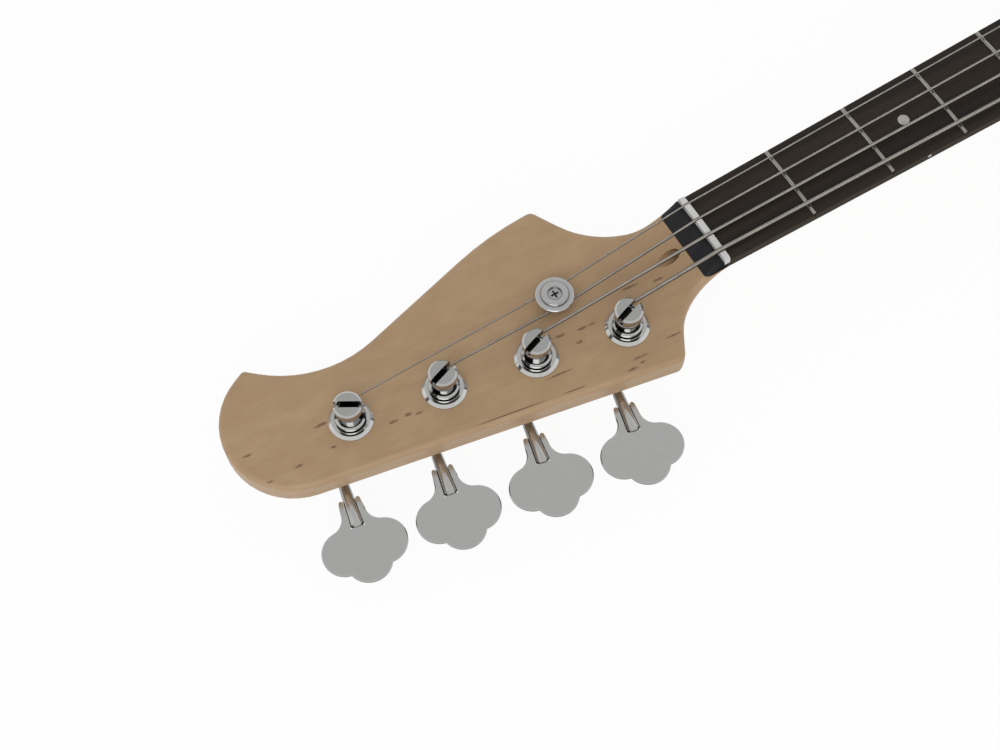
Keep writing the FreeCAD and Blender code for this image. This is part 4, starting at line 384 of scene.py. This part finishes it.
def make_strings(winds, ball_metal):
    """Each string in two pieces that meet on its saddle, and its ball end."""
    crest = 1 + BEND_STEPS // 2
    for index, name in enumerate(STRING_NAMES):
        node = "string_" + name
        path = string_path(index)
        ways = headings(path)
        radii = [string_radius(index, point.x) for point in path]
        shell = Shell()
        shell.add_tube(path[crest:], ways[crest:], radii[crest:], STRING_SIDES)
        string = add_piece("wound_string_" + name, shell, winds[index], node)
        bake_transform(string)
        shell = Shell()
        shell.add_tube(path[:crest + 1], ways[:crest + 1], radii[:crest + 1], STRING_SIDES)
        tail = add_piece("string_tail_" + name, shell, winds[index], node)
        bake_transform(tail)
        shell = Shell()
        shell.add_turned(ball_outline(index), ball_point(index), (0, 1, 0), 2 * STRING_SIDES)
        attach(add_piece("ball_end_" + name, shell, ball_metal, node), "instrument")


def make_springs(metal):
    """A coil for each saddle, from the bridge's wall to the saddle; its length follows the saddle."""
    wall_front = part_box("saddle_springs")[0][0] + SPRING_WIRE_RADIUS
    for name in STRING_NAMES:
        axis = middle_of("intonation_screw_" + name)
        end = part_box("saddle_" + name)[0][0] - SPRING_WIRE_RADIUS - SEAT_GAP / 2
        steps = SPRING_TURNS * TURN_STEPS
        path = []
        for step in range(steps + 1):
            angle = 2 * math.pi * step / TURN_STEPS
            path.append(Vector((wall_front + (end - wall_front) * step / steps,
                                axis.y + SPRING_RADIUS * math.cos(angle),
                                axis.z + SPRING_RADIUS * math.sin(angle))))
        shell = Shell()
        shell.add_tube(path, headings(path), [SPRING_WIRE_RADIUS] * len(path), SPRING_SIDES)
        spring = add_piece("saddle_spring_" + name, shell, metal, "saddle_springs")
        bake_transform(spring)


# Materials
#
# Colours are linear red, green and blue. Waves are counts per metre along X, Y and Z.
# A layer is its waves, detail, low and high end of its noise, strength and colour.
# A roughness pair holds where a noise is low and where it is high.
# A face or side pair is how far a face lies flat where a shade starts and where it is full.
# A reach pair is the same for the share of the way from the body's middle to its rim.

NOISE_LOW = 0.3
NOISE_HIGH = 0.7
NOISE_MIDDLE = (0.5, 0.5, 0.5)
DETAIL_FINE = 2.0
DETAIL_MIDDLE = 3.0
DETAIL_BROAD = 4.0
WOOD_RELIEF = 0.5
METAL_RELIEF = 0.4
MOULD_RELIEF = 0.6
BONE_RELIEF = 0.4

MAPLE = (0.380, 0.248, 0.134)
MAPLE_LINES = (9.0, 420.0, 260.0)
MAPLE_PORES = (70.0, 2600.0, 2600.0)
MAPLE_LAYERS = [
    ((7.0, 38.0, 38.0), DETAIL_MIDDLE, 0.3, 0.7, 1.0, (0.428, 0.290, 0.162)),
    ((90.0, 170.0, 170.0), DETAIL_BROAD, 0.35, 0.7, 0.55, (0.350, 0.220, 0.116)),
    (MAPLE_LINES, DETAIL_BROAD, 0.45, 0.75, 0.25, (0.325, 0.205, 0.102)),
    (MAPLE_PORES, DETAIL_FINE, 0.55, 0.8, 0.3, (0.27, 0.160, 0.075)),
]
MAPLE_ROUGHNESS = (0.38, 0.48)
MAPLE_PORE_DEPTH = 0.00004
MARK_COLOUR = (0.140, 0.072, 0.034)
MARK_WAVES = 900.0
MARK_LENGTH_SHAKE = 0.004
FLECK_WIDTH_SHAKE = 0.0012
EDGE_WIDTH_SHAKE = 0.0002
FLECK_CORE_SHARE = 0.4
FLECK_STRENGTH = 0.85
EDGE_CORE_SHARE = 0.5
EDGE_STRENGTH = 0.95
MARK_FACE = (0.75, 0.9)
NO_MARK = 9.0

BOARD_TOP_COLOUR = (0.0135, 0.0105, 0.0085)
BOARD_SIDE_COLOUR = (0.050, 0.043, 0.036)
BOARD_BANDS = (5.0, 150.0, 150.0)
BOARD_PORES = (45.0, 1500.0, 1500.0)
BOARD_TOP_LAYERS = [
    (BOARD_BANDS, DETAIL_BROAD, 0.35, 0.7, 1.0, (0.034, 0.022, 0.0145)),
    (BOARD_PORES, DETAIL_FINE, 0.62, 0.72, 0.6, (0.007, 0.006, 0.005)),
]
BOARD_SIDE_LAYERS = [
    (BOARD_BANDS, DETAIL_BROAD, 0.35, 0.7, 1.0, (0.066, 0.057, 0.047)),
]
BOARD_FACE = (0.3, 0.75)
BOARD_END_COLOUR = (0.0165, 0.017, 0.019)
BOARD_ROUGHNESS = (0.55, 0.42)
BOARD_GLINT = 0.2
BOARD_PORE_DEPTH = 0.00005

BURST_MIDDLE = (0.60, 0.25, 0.045)
BURST_GRAIN = (5.0, 70.0, 70.0)
BURST_GRAIN_DETAIL = 5.0
BURST_LAYERS = [
    (BURST_GRAIN, BURST_GRAIN_DETAIL, 0.35, 0.65, 1.0, (0.44, 0.15, 0.022)),
    ((16.0, 520.0, 520.0), DETAIL_MIDDLE, 0.5, 0.7, 0.5, (0.26, 0.075, 0.012)),
]
BURST_RED = (0.17, 0.018, 0.007)
BURST_RED_REACH = (0.42, 0.68)
BURST_BLACK = (0.006, 0.005, 0.005)
BURST_BLACK_REACH = (0.66, 0.88)
BURST_SIDE = (0.85, 0.55)
BURST_CLOUDS = (9.0, 9.0, 9.0)
BURST_CLOUD_SHIFT = 0.05
BURST_ROUGHNESS = (0.30, 0.42)
LACQUER_WEIGHT = 1.0
LACQUER_ROUGHNESS = 0.04

WIPE_WAVES = (240.0, 240.0, 240.0)
WIPE_HIGH = 0.75
RIPPLE_WAVES = (2200.0, 2200.0, 2200.0)
RIPPLE_DEPTH = 0.000003
PLATING_WEAR = 0.06
PLATING_SMEAR = 0.05
# Painted shade on the sides of the tuner keys
KEY_SIDE_SHADE_SHARE = 0.34
KEY_SHADE_FACE = (0.35, 0.9)
# Painted shade in rings on the string retainer, and its roughness
RING_SHADE_COLOUR = (0.03, 0.03, 0.03)
RING_ROUGHNESS = 0.08
# Painted shade down in the retainer screw's recess, and that screw's roughness
RECESS_SHADE_COLOUR = (0.02, 0.02, 0.02)
RECESS_SHADE_STRENGTH = 0.94
RECESS_ROUGHNESS = 0.1
# Painted shade down in the slots of the string posts
SLOT_SHADE_COLOUR = (0.022, 0.020, 0.018)
SLOT_SHADE_STRENGTH = 0.95
POST_ROUGHNESS = 0.09

BRUSHED_LOW = 0.35
BRUSHED_DARK_SHARE = 0.72
BRUSHED_SMOOTHER = 0.06
BRUSHED_ROUGHER = 0.08
BRUSHED_DEPTH = 0.00001

WIRE_COLOUR = (0.46, 0.43, 0.39)
WIRE_WEAR = (160.0, 160.0, 160.0)
WIRE_LAYERS = [
    (WIRE_WEAR, DETAIL_MIDDLE, 0.3, 0.7, 1.0, (0.38, 0.35, 0.31)),
]
# Painted shade on the sides of the strings and in the grooves between their turns
WIRE_SIDE_SHADE_COLOUR = (0.070, 0.056, 0.044)
WIRE_LIT_FACE = (0.5, 0.86)
WIRE_GROOVE_SHADE_COLOUR = (0.08, 0.076, 0.072)
WIRE_GROOVE_SHADE_END = 0.55
WIRE_ROUGHNESS = (0.26, 0.40)
WIRE_DEPTH_SHARE = 0.25

MOULD_MOTTLE = (55.0, 55.0, 55.0)
MOULD_LIGHT_SHARE = 1.25
MOULD_LIFT = 0.002
MOULD_SMOOTHER = 0.05
MOULD_ROUGHER = 0.07

PEARL = (0.375, 0.350, 0.310)
PEARL_SWIRL = (500.0, 900.0, 500.0)
PEARL_LAYERS = [
    (PEARL_SWIRL, DETAIL_BROAD, 0.35, 0.65, 1.0, (0.455, 0.440, 0.405)),
]
PEARL_ROUGHNESS = (0.14, 0.26)
PEARL_COAT_WEIGHT = 0.6
PEARL_COAT_ROUGHNESS = 0.05

BONE = (0.53, 0.53, 0.515)
BONE_LAYERS = [
    ((300.0, 90.0, 500.0), DETAIL_MIDDLE, 0.3, 0.7, 1.0, (0.60, 0.60, 0.59)),
]
BONE_FINE = (1800.0, 700.0, 1800.0)
BONE_ROUGHNESS = (0.34, 0.48)
BONE_DEPTH = 0.00002


def tone(colour, share=1.0, lift=0.0):
    """A colour with its alpha, darkened or lightened by a share and a lift."""
    return tuple(share * part + lift for part in colour) + (1.0,)


class Paint:
    """A node material worked out from the place on the object, in metres."""

    def __init__(self, name, metallic=0.0):
        self.material = bpy.data.materials.new(name)
        self.material.use_nodes = True
        self.tree = self.material.node_tree
        self.shader = self.tree.nodes["Principled BSDF"]
        self.shader.inputs["Metallic"].default_value = metallic
        spots = self.tree.nodes.new("ShaderNodeTexCoord").outputs
        self.place = spots["Object"]
        self.normal = spots["Normal"]

    def feed(self, socket, value):
        """Link a node's output to a socket, or set the socket's own value."""
        if isinstance(value, bpy.types.NodeSocket):
            self.tree.links.new(value, socket)
        else:
            socket.default_value = value

    def add(self, kind, inputs, **settings):
        made = self.tree.nodes.new(kind)
        for setting, value in settings.items():
            setattr(made, setting, value)
        for socket, value in inputs.items():
            self.feed(made.inputs[socket], value)
        return made

    def math(self, operation, first, second=0.0):
        return self.add("ShaderNodeMath", {0: first, 1: second}, operation=operation).outputs[0]

    def vector(self, operation, first, second):
        return self.add("ShaderNodeVectorMath", {0: first, 1: second}, operation=operation).outputs[0]

    def length(self, vector):
        return self.add("ShaderNodeVectorMath", {0: vector}, operation="LENGTH").outputs["Value"]

    def axis(self, name, place=None):
        return self.add("ShaderNodeSeparateXYZ", {0: place or self.place}).outputs[name]

    def lying(self):
        """How far a face lies flat: 1 facing the front or the back, 0 at the sides."""
        return self.math("ABSOLUTE", self.axis("Z", self.normal))

    def turned(self, place, angle):
        """A place in axes turned about Z by an angle in degrees."""
        inputs = {"Vector": place, "Angle": math.radians(-angle)}
        return self.add("ShaderNodeVectorRotate", inputs, rotation_type="Z_AXIS").outputs[0]

    def noise(self, waves, detail, place=None):
        """Noise between 0 and 1 with its own count of waves along each axis."""
        scaled = self.vector("MULTIPLY", place or self.place, waves)
        return self.add("ShaderNodeTexNoise", {"Vector": scaled, "Scale": 1.0, "Detail": detail}).outputs[0]

    def spread(self, value, low, high, to_low=0.0, to_high=1.0):
        inputs = {"Value": value, "From Min": low, "From Max": high, "To Min": to_low, "To Max": to_high}
        return self.add("ShaderNodeMapRange", inputs).outputs[0]

    def mix(self, factor, first, second):
        return self.add("ShaderNodeMix", {0: factor, 6: first, 7: second}, data_type="RGBA").outputs[2]

    def layered(self, colour, layers, place=None):
        """A colour with layers of noise laid over it."""
        shade = tone(colour)
        for waves, detail, low, high, strength, over in layers:
            cover = self.spread(self.noise(waves, detail, place), low, high, 0.0, strength)
            shade = self.mix(cover, shade, tone(over))
        return shade

    def colour(self, value):
        self.feed(self.shader.inputs["Base Color"], value)

    def rough(self, noise, low, high):
        """Roughness that goes from low to high by a noise."""
        self.feed(self.shader.inputs["Roughness"], self.spread(noise, NOISE_LOW, NOISE_HIGH, low, high))

    def relief(self, height, depth, strength=1.0):
        bump = self.add("ShaderNodeBump", {"Height": height, "Distance": depth, "Strength": strength})
        self.feed(self.shader.inputs["Normal"], bump.outputs[0])

    def glint(self, level):
        self.feed(self.shader.inputs["Specular IOR Level"], level)

    def coat(self, weight, roughness):
        self.shader.inputs["Coat Weight"].default_value = weight
        self.shader.inputs["Coat Roughness"].default_value = roughness


def marks(paint, tilt, places, width_shake):
    """How far a place is from the nearest wood mark, 0 at its middle and 1 at its rim."""
    place = paint.turned(paint.place, tilt)
    ragged = paint.add("ShaderNodeTexNoise", {"Vector": place, "Scale": MARK_WAVES, "Detail": DETAIL_FINE})
    shake = paint.vector("SUBTRACT", ragged.outputs["Color"], NOISE_MIDDLE)
    shake = paint.vector("MULTIPLY", shake, (MARK_LENGTH_SHAKE, width_shake, 0.0))
    shaken = paint.vector("ADD", place, shake)
    turn = Matrix.Rotation(math.radians(-tilt), 3, "Z")
    nearest = NO_MARK
    for x, y, half_length, half_width in places:
        middle = turn @ Vector((x, y, 0.0))
        offset = paint.vector("SUBTRACT", shaken, tuple(middle))
        shares = paint.vector("MULTIPLY", offset, (1 / half_length, 1 / half_width, 0.0))
        nearest = paint.math("MINIMUM", paint.length(shares), nearest)
    return nearest


def maple():
    """Satin maple with fine lines, and dark marks on the front of the head."""
    paint = Paint("satin_maple")
    place = paint.turned(paint.place, GRAIN_TILT)
    wood = paint.layered(MAPLE, MAPLE_LAYERS, place)
    fleck = marks(paint, GRAIN_TILT, HEAD_FLECKS, FLECK_WIDTH_SHAKE)
    fleck = paint.spread(fleck, FLECK_CORE_SHARE, 1.0, FLECK_STRENGTH, 0.0)
    line = marks(paint, EDGE_TILT, EDGE_MARKS, EDGE_WIDTH_SHAKE)
    line = paint.spread(line, EDGE_CORE_SHARE, 1.0, EDGE_STRENGTH, 0.0)
    on_face = paint.spread(paint.axis("Z", paint.normal), *MARK_FACE)
    mark = paint.math("MULTIPLY", paint.math("MAXIMUM", fleck, line), on_face)
    paint.colour(paint.mix(mark, wood, tone(MARK_COLOUR)))
    paint.rough(paint.noise(MAPLE_LINES, DETAIL_BROAD, place), *MAPLE_ROUGHNESS)
    paint.relief(paint.noise(MAPLE_PORES, DETAIL_FINE, place), MAPLE_PORE_DEPTH, WOOD_RELIEF)
    return paint.material


def rosewood():
    """Dark board with lighter sides, blackened from the nut to its end."""
    paint = Paint("dark_fretboard")
    flat = paint.spread(paint.lying(), *BOARD_FACE)
    top = paint.layered(BOARD_TOP_COLOUR, BOARD_TOP_LAYERS)
    wood = paint.mix(flat, paint.layered(BOARD_SIDE_COLOUR, BOARD_SIDE_LAYERS), top)
    blackened = paint.spread(paint.axis("X"), nut_x - SEAT_GAP, nut_x + SEAT_GAP)
    paint.colour(paint.mix(blackened, wood, tone(BOARD_END_COLOUR)))
    paint.rough(paint.noise(BOARD_BANDS, DETAIL_BROAD), *BOARD_ROUGHNESS)
    paint.glint(paint.math("MULTIPLY", flat, BOARD_GLINT))
    paint.relief(paint.noise(BOARD_PORES, DETAIL_FINE), BOARD_PORE_DEPTH, WOOD_RELIEF)
    return paint.material


def sunburst():
    """Clear-coated wood shaded from amber in the middle through red to black at the rim."""
    paint = Paint("sunburst_lacquer")
    low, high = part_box("body")
    half_x = (high[0] - low[0]) / 2
    half_y = (high[1] - low[1]) / 2
    wood = paint.layered(BURST_MIDDLE, BURST_LAYERS)
    offset = paint.vector("SUBTRACT", paint.place, tuple(middle_of("body")))
    far = paint.length(paint.vector("MULTIPLY", offset, (1 / half_x, 1 / half_y, 0.0)))
    cloud = paint.noise(BURST_CLOUDS, DETAIL_FINE)
    far = paint.math("ADD", far, paint.spread(cloud, 0.0, 1.0, -BURST_CLOUD_SHIFT, BURST_CLOUD_SHIFT))
    wood = paint.mix(paint.spread(far, *BURST_RED_REACH), wood, tone(BURST_RED))
    side = paint.spread(paint.lying(), *BURST_SIDE)
    rim = paint.math("MAXIMUM", paint.spread(far, *BURST_BLACK_REACH), side)
    paint.colour(paint.mix(rim, wood, tone(BURST_BLACK)))
    paint.coat(LACQUER_WEIGHT, LACQUER_ROUGHNESS)
    paint.rough(paint.noise(BURST_GRAIN, BURST_GRAIN_DETAIL), *BURST_ROUGHNESS)
    return paint.material


def plating(paint, colour, wear, roughness, smear):
    """Colour of plated metal with faint wipe marks; a fine ripple goes on the paint itself."""
    wipes = paint.noise(WIPE_WAVES, DETAIL_BROAD)
    paint.rough(wipes, roughness, roughness + smear)
    paint.relief(paint.noise(RIPPLE_WAVES, DETAIL_FINE), RIPPLE_DEPTH, METAL_RELIEF)
    return paint.mix(paint.spread(wipes, NOISE_LOW, WIPE_HIGH), tone(colour), tone(colour, 1 - wear))


def polished(name, colour, wear, roughness, smear):
    """Plain plating."""
    paint = Paint(name, 1.0)
    paint.colour(plating(paint, colour, wear, roughness, smear))
    return paint.material


def side_shaded(name, colour, wear, roughness, smear):
    """Plating with painted shade on its sides, for a flat key."""
    paint = Paint(name, 1.0)
    metal = plating(paint, colour, wear, roughness, smear)
    face = paint.spread(paint.lying(), *KEY_SHADE_FACE)
    paint.colour(paint.mix(face, tone(colour, KEY_SIDE_SHADE_SHARE), metal))
    return paint.material


def ring_shaded(name, node, colour, rings):
    """Plating with rings of painted shade round the axis of a turned piece."""
    paint = Paint(name, 1.0)
    metal = plating(paint, colour, PLATING_WEAR, RING_ROUGHNESS, PLATING_SMEAR)
    offset = paint.vector("SUBTRACT", paint.place, tuple(middle_of(node)))
    reach = paint.length(paint.vector("MULTIPLY", offset, (1.0, 1.0, 0.0)))
    for radius, half_width, strength in rings:
        off = paint.math("ABSOLUTE", paint.math("SUBTRACT", reach, radius))
        shade = paint.spread(off, 0.0, half_width, strength, 0.0)
        metal = paint.mix(shade, metal, tone(RING_SHADE_COLOUR))
    paint.colour(metal)
    return paint.material


def recess_shaded(name, node, colour, depth):
    """Plating with painted shade down in a screw's recess."""
    paint = Paint(name, 1.0)
    metal = plating(paint, colour, PLATING_WEAR, RECESS_ROUGHNESS, PLATING_SMEAR)
    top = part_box(node)[1][2]
    deep_shade = paint.spread(paint.axis("Z"), top - SEAT_GAP, top - depth, 0.0, RECESS_SHADE_STRENGTH)
    paint.colour(paint.mix(deep_shade, metal, tone(RECESS_SHADE_COLOUR)))
    return paint.material


def slot_shaded(index, colour):
    """Plating of a string post with painted shade down in its slot."""
    node = "tuner_post_" + STRING_NAMES[index]
    paint = Paint("post_chrome_slot_shade_" + STRING_NAMES[index], 1.0)
    metal = plating(paint, colour, PLATING_WEAR, POST_ROUGHNESS, PLATING_SMEAR)
    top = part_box(node)[1][2]
    offset = paint.vector("SUBTRACT", paint.place, tuple(middle_of(node)))
    across = paint.math("ABSOLUTE", paint.axis("Y", paint.turned(offset, SLOT_ANGLES[index])))
    between = paint.spread(across, SLOT_WIDTH / 2 + SEAT_GAP, SLOT_WIDTH / 2 + SEAT_GAP / 2)
    deep_shade = paint.spread(paint.axis("Z"), top - SEAT_GAP, top - SLOT_SHADE_DEPTH, 0.0, SLOT_SHADE_STRENGTH)
    shade = paint.math("MULTIPLY", between, deep_shade)
    paint.colour(paint.mix(shade, metal, tone(SLOT_SHADE_COLOUR)))
    return paint.material


def brushed(name, colour, roughness, waves):
    """Metal with fine lines along one direction."""
    paint = Paint(name, 1.0)
    lines = paint.noise(waves, DETAIL_MIDDLE)
    cover = paint.spread(lines, BRUSHED_LOW, NOISE_HIGH)
    paint.colour(paint.mix(cover, tone(colour), tone(colour, BRUSHED_DARK_SHARE)))
    paint.rough(lines, roughness - BRUSHED_SMOOTHER, roughness + BRUSHED_ROUGHER)
    paint.relief(lines, BRUSHED_DEPTH, METAL_RELIEF)
    return paint.material


def wound(name, pitch):
    """Round wire wound on a core: ridges that lean with the wire's own pitch, with painted shade on its
    sides and in the grooves between its turns.
    """
    paint = Paint(name, 1.0)
    spot = paint.add("ShaderNodeUVMap", {}, uv_map=TUBE_MAP).outputs[0]
    turns = paint.math("MULTIPLY", paint.axis("X", spot), 1 / pitch)
    turns = paint.math("ADD", turns, paint.axis("Y", spot))
    ridge = paint.math("ABSOLUTE", paint.math("SINE", paint.math("MULTIPLY", turns, math.pi)))
    metal = paint.layered(WIRE_COLOUR, WIRE_LAYERS)
    lit = paint.spread(paint.axis("Z", paint.normal), *WIRE_LIT_FACE)
    metal = paint.mix(lit, tone(WIRE_SIDE_SHADE_COLOUR), metal)
    paint.colour(paint.mix(paint.spread(ridge, 0.0, WIRE_GROOVE_SHADE_END), tone(WIRE_GROOVE_SHADE_COLOUR), metal))
    paint.rough(paint.noise(WIRE_WEAR, DETAIL_MIDDLE), *WIRE_ROUGHNESS)
    paint.relief(ridge, pitch * WIRE_DEPTH_SHARE)
    return paint.material


def moulded(name, colour, roughness, waves, depth):
    """Plastic with a moulded grain and faint mottling."""
    paint = Paint(name)
    mottle = paint.noise(MOULD_MOTTLE, DETAIL_MIDDLE)
    lighter = tone(colour, MOULD_LIGHT_SHARE, MOULD_LIFT)
    paint.colour(paint.mix(paint.spread(mottle, NOISE_LOW, NOISE_HIGH), tone(colour), lighter))
    paint.rough(mottle, roughness - MOULD_SMOOTHER, roughness + MOULD_ROUGHER)
    paint.relief(paint.noise((waves,) * 3, DETAIL_MIDDLE), depth, MOULD_RELIEF)
    return paint.material


def pearl():
    """Pale inlay with a soft swirl under a clear coat."""
    paint = Paint("pearl_dots")
    paint.colour(paint.layered(PEARL, PEARL_LAYERS))
    paint.rough(paint.noise(PEARL_SWIRL, DETAIL_BROAD), *PEARL_ROUGHNESS)
    paint.coat(PEARL_COAT_WEIGHT, PEARL_COAT_ROUGHNESS)
    return paint.material


def bone():
    """Bone with faint streaks."""
    paint = Paint("bone_nut")
    paint.colour(paint.layered(BONE, BONE_LAYERS))
    fine = paint.noise(BONE_FINE, DETAIL_FINE)
    paint.rough(fine, *BONE_ROUGHNESS)
    paint.relief(fine, BONE_DEPTH, BONE_RELIEF)
    return paint.material


POST_COLOUR = (0.50, 0.50, 0.494)
RETAINER_COLOUR = (0.58, 0.58, 0.575)
RETAINER_SCREW_COLOUR = (0.50, 0.50, 0.495)

CHROME = polished("chrome", (0.62, 0.62, 0.612), wear=0.10, roughness=0.07, smear=0.07)
SIDE_SHADED_KEY_CHROME = side_shaded("key_chrome_side_shade", (0.59, 0.59, 0.582), wear=0.03, roughness=0.14, smear=0.03)
STEEL = brushed("brushed_steel", (0.50, 0.49, 0.47), roughness=0.30, waves=(60.0, 900.0, 900.0))
FRET_METAL = brushed("fret_metal", (0.43, 0.405, 0.37), roughness=0.28, waves=(1600.0, 90.0, 900.0))
BRASS = brushed("brass", (0.62, 0.44, 0.19), roughness=0.26, waves=(900.0, 900.0, 200.0))
COIL = brushed("coil_wire", (0.34, 0.15, 0.07), roughness=0.4, waves=(200.0, 200.0, 5000.0))
BLACK_PLASTIC = moulded("black_plastic", (0.012, 0.012, 0.0125), roughness=0.36, waves=1400.0, depth=0.00003)
MATTE_PLASTIC = moulded("matte_cover", (0.016, 0.016, 0.016), roughness=0.55, waves=900.0, depth=0.00006)
FOAM = moulded("foam", (0.035, 0.035, 0.035), roughness=0.95, waves=1300.0, depth=0.0006)
CAPACITOR = moulded("capacitor", (0.30, 0.09, 0.02), roughness=0.25, waves=800.0, depth=0.00003)
INSULATION = moulded("wire_insulation", (0.55, 0.53, 0.44), roughness=0.5, waves=1500.0, depth=0.00003)

NODE_MATERIALS = {
    "body": sunburst(),
    "neck": maple(),
    "fretboard": rosewood(),
    "nut": bone(),
    "position_dots": pearl(),
    "frets": FRET_METAL,
    "string_retainer": ring_shaded("retainer_chrome_ring_shade", "string_retainer", RETAINER_COLOUR, RETAINER_SHADE_RINGS),
    "retainer_screw": recess_shaded("retainer_screw_chrome_recess_shade", "retainer_screw", RETAINER_SCREW_COLOUR, RECESS_SHADE_DEPTH),
    "truss_rod": STEEL,
    "truss_rod_nut": STEEL,
    "pickup_magnets": STEEL,
    "pickup_covers": BLACK_PLASTIC,
    "pickup_coils": COIL,
    "pickup_foam": FOAM,
    "control_cover": MATTE_PLASTIC,
    "tone_capacitor": CAPACITOR,
    "wiring": INSULATION,
    "knob_volume": BLACK_PLASTIC,
    "knob_tone": BLACK_PLASTIC,
    "pot_shaft_volume": BRASS,
    "pot_shaft_tone": BRASS,
}
for place, letter in enumerate(STRING_NAMES):
    NODE_MATERIALS["tuner_post_" + letter] = slot_shaded(place, POST_COLOUR)
    NODE_MATERIALS["tuner_gear_" + letter] = BRASS
    NODE_MATERIALS["tuner_key_" + letter] = SIDE_SHADED_KEY_CHROME
    NODE_MATERIALS["intonation_screw_" + letter] = STEEL
for node_name, node_object in nodes.items():
    node_object.data.materials.clear()
    node_object.data.materials.append(NODE_MATERIALS.get(node_name, CHROME))

WOUND_WIRES = [wound("wound_wire_painted_shade_" + name, pitch) for name, pitch in zip(STRING_NAMES, WRAP_PITCHES)]
make_strings(WOUND_WIRES, BRASS)
make_springs(STEEL)


# Camera, floor and light


def place_camera():
    """The camera as it was fitted to the photo."""
    data = bpy.data.cameras.new("camera")
    data.sensor_fit = "HORIZONTAL"
    data.sensor_width = CAMERA_SENSOR_MM
    data.lens = CAMERA_LENS_MM
    camera = bpy.data.objects.new("camera", data)
    right = CAMERA_FORWARD.cross(CAMERA_UP).normalized()
    up = right.cross(CAMERA_FORWARD).normalized()
    turn = Matrix((right, up, -CAMERA_FORWARD.normalized())).transposed()
    camera.matrix_world = Matrix.Translation(CAMERA_PLACE) @ turn.to_4x4()
    bpy.context.scene.collection.objects.link(camera)
    bpy.context.scene.camera = camera


def lay_floor():
    """A floor that shows as white, in metal too, and keeps a part of the object's shadow."""
    half = FLOOR_HALF_WIDTH
    height = cad_box[0][2] - FLOOR_DROP
    mesh = bpy.data.meshes.new("floor")
    corners = [(-half, -half, height), (half, -half, height), (half, half, height), (-half, half, height)]
    mesh.from_pydata(corners, [], [(0, 1, 2, 3)])
    floor = bpy.data.objects.new("floor", mesh)
    bpy.context.scene.collection.objects.link(floor)
    material = bpy.data.materials.new("pale_floor")
    material.use_nodes = True
    tree = material.node_tree
    shader = tree.nodes["Principled BSDF"]
    shader.inputs["Base Color"].default_value = FLOOR_COLOUR
    shader.inputs["Roughness"].default_value = FLOOR_ROUGHNESS
    glow = tree.nodes.new("ShaderNodeEmission")
    rays = tree.nodes.new("ShaderNodeLightPath")
    mirrored = tree.nodes.new("ShaderNodeMath")
    mirrored.operation = "MAXIMUM"
    seen = tree.nodes.new("ShaderNodeMath")
    seen.operation = "MAXIMUM"
    clear = tree.nodes.new("ShaderNodeMath")
    clear.operation = "MULTIPLY"
    clear.inputs[1].default_value = 1 - FLOOR_SHADOW_SHARE
    blend = tree.nodes.new("ShaderNodeMixShader")
    tree.links.new(rays.outputs["Is Glossy Ray"], mirrored.inputs[0])
    tree.links.new(rays.outputs["Is Transmission Ray"], mirrored.inputs[1])
    tree.links.new(rays.outputs["Is Camera Ray"], seen.inputs[0])
    tree.links.new(mirrored.outputs[0], seen.inputs[1])
    tree.links.new(seen.outputs[0], clear.inputs[0])
    tree.links.new(clear.outputs[0], blend.inputs[0])
    tree.links.new(shader.outputs[0], blend.inputs[1])
    tree.links.new(glow.outputs[0], blend.inputs[2])
    tree.links.new(blend.outputs[0], tree.nodes["Material Output"].inputs["Surface"])
    mesh.materials.append(material)


def light_sky():
    """A soft sky, white at the horizon and greyer overhead."""
    world = bpy.data.worlds.new("studio")
    bpy.context.scene.world = world
    world.use_nodes = True
    tree = world.node_tree
    sky = tree.nodes["Background"]
    way = tree.nodes.new("ShaderNodeTexCoord")
    height = tree.nodes.new("ShaderNodeSeparateXYZ")
    shade = tree.nodes.new("ShaderNodeMix")
    shade.data_type = "RGBA"
    shade.inputs[6].default_value = SKY_LOW
    shade.inputs[7].default_value = SKY_TOP
    tree.links.new(way.outputs["Generated"], height.inputs[0])
    tree.links.new(height.outputs["Z"], shade.inputs[0])
    tree.links.new(shade.outputs[2], sky.inputs["Color"])


def hang_lamp():
    """One large soft lamp above the head."""
    data = bpy.data.lights.new("softbox", "AREA")
    data.shape = "SQUARE"
    data.size = LAMP_SIZE
    data.energy = LAMP_POWER
    lamp = bpy.data.objects.new("softbox", data)
    lamp.location = LAMP_PLACE
    lamp.rotation_euler = (LAMP_AIM - LAMP_PLACE).to_track_quat("-Z", "Y").to_euler()
    bpy.context.scene.collection.objects.link(lamp)


place_camera()
lay_floor()
light_sky()
hang_lamp()
bpy.context.scene.view_settings.view_transform = "Standard"
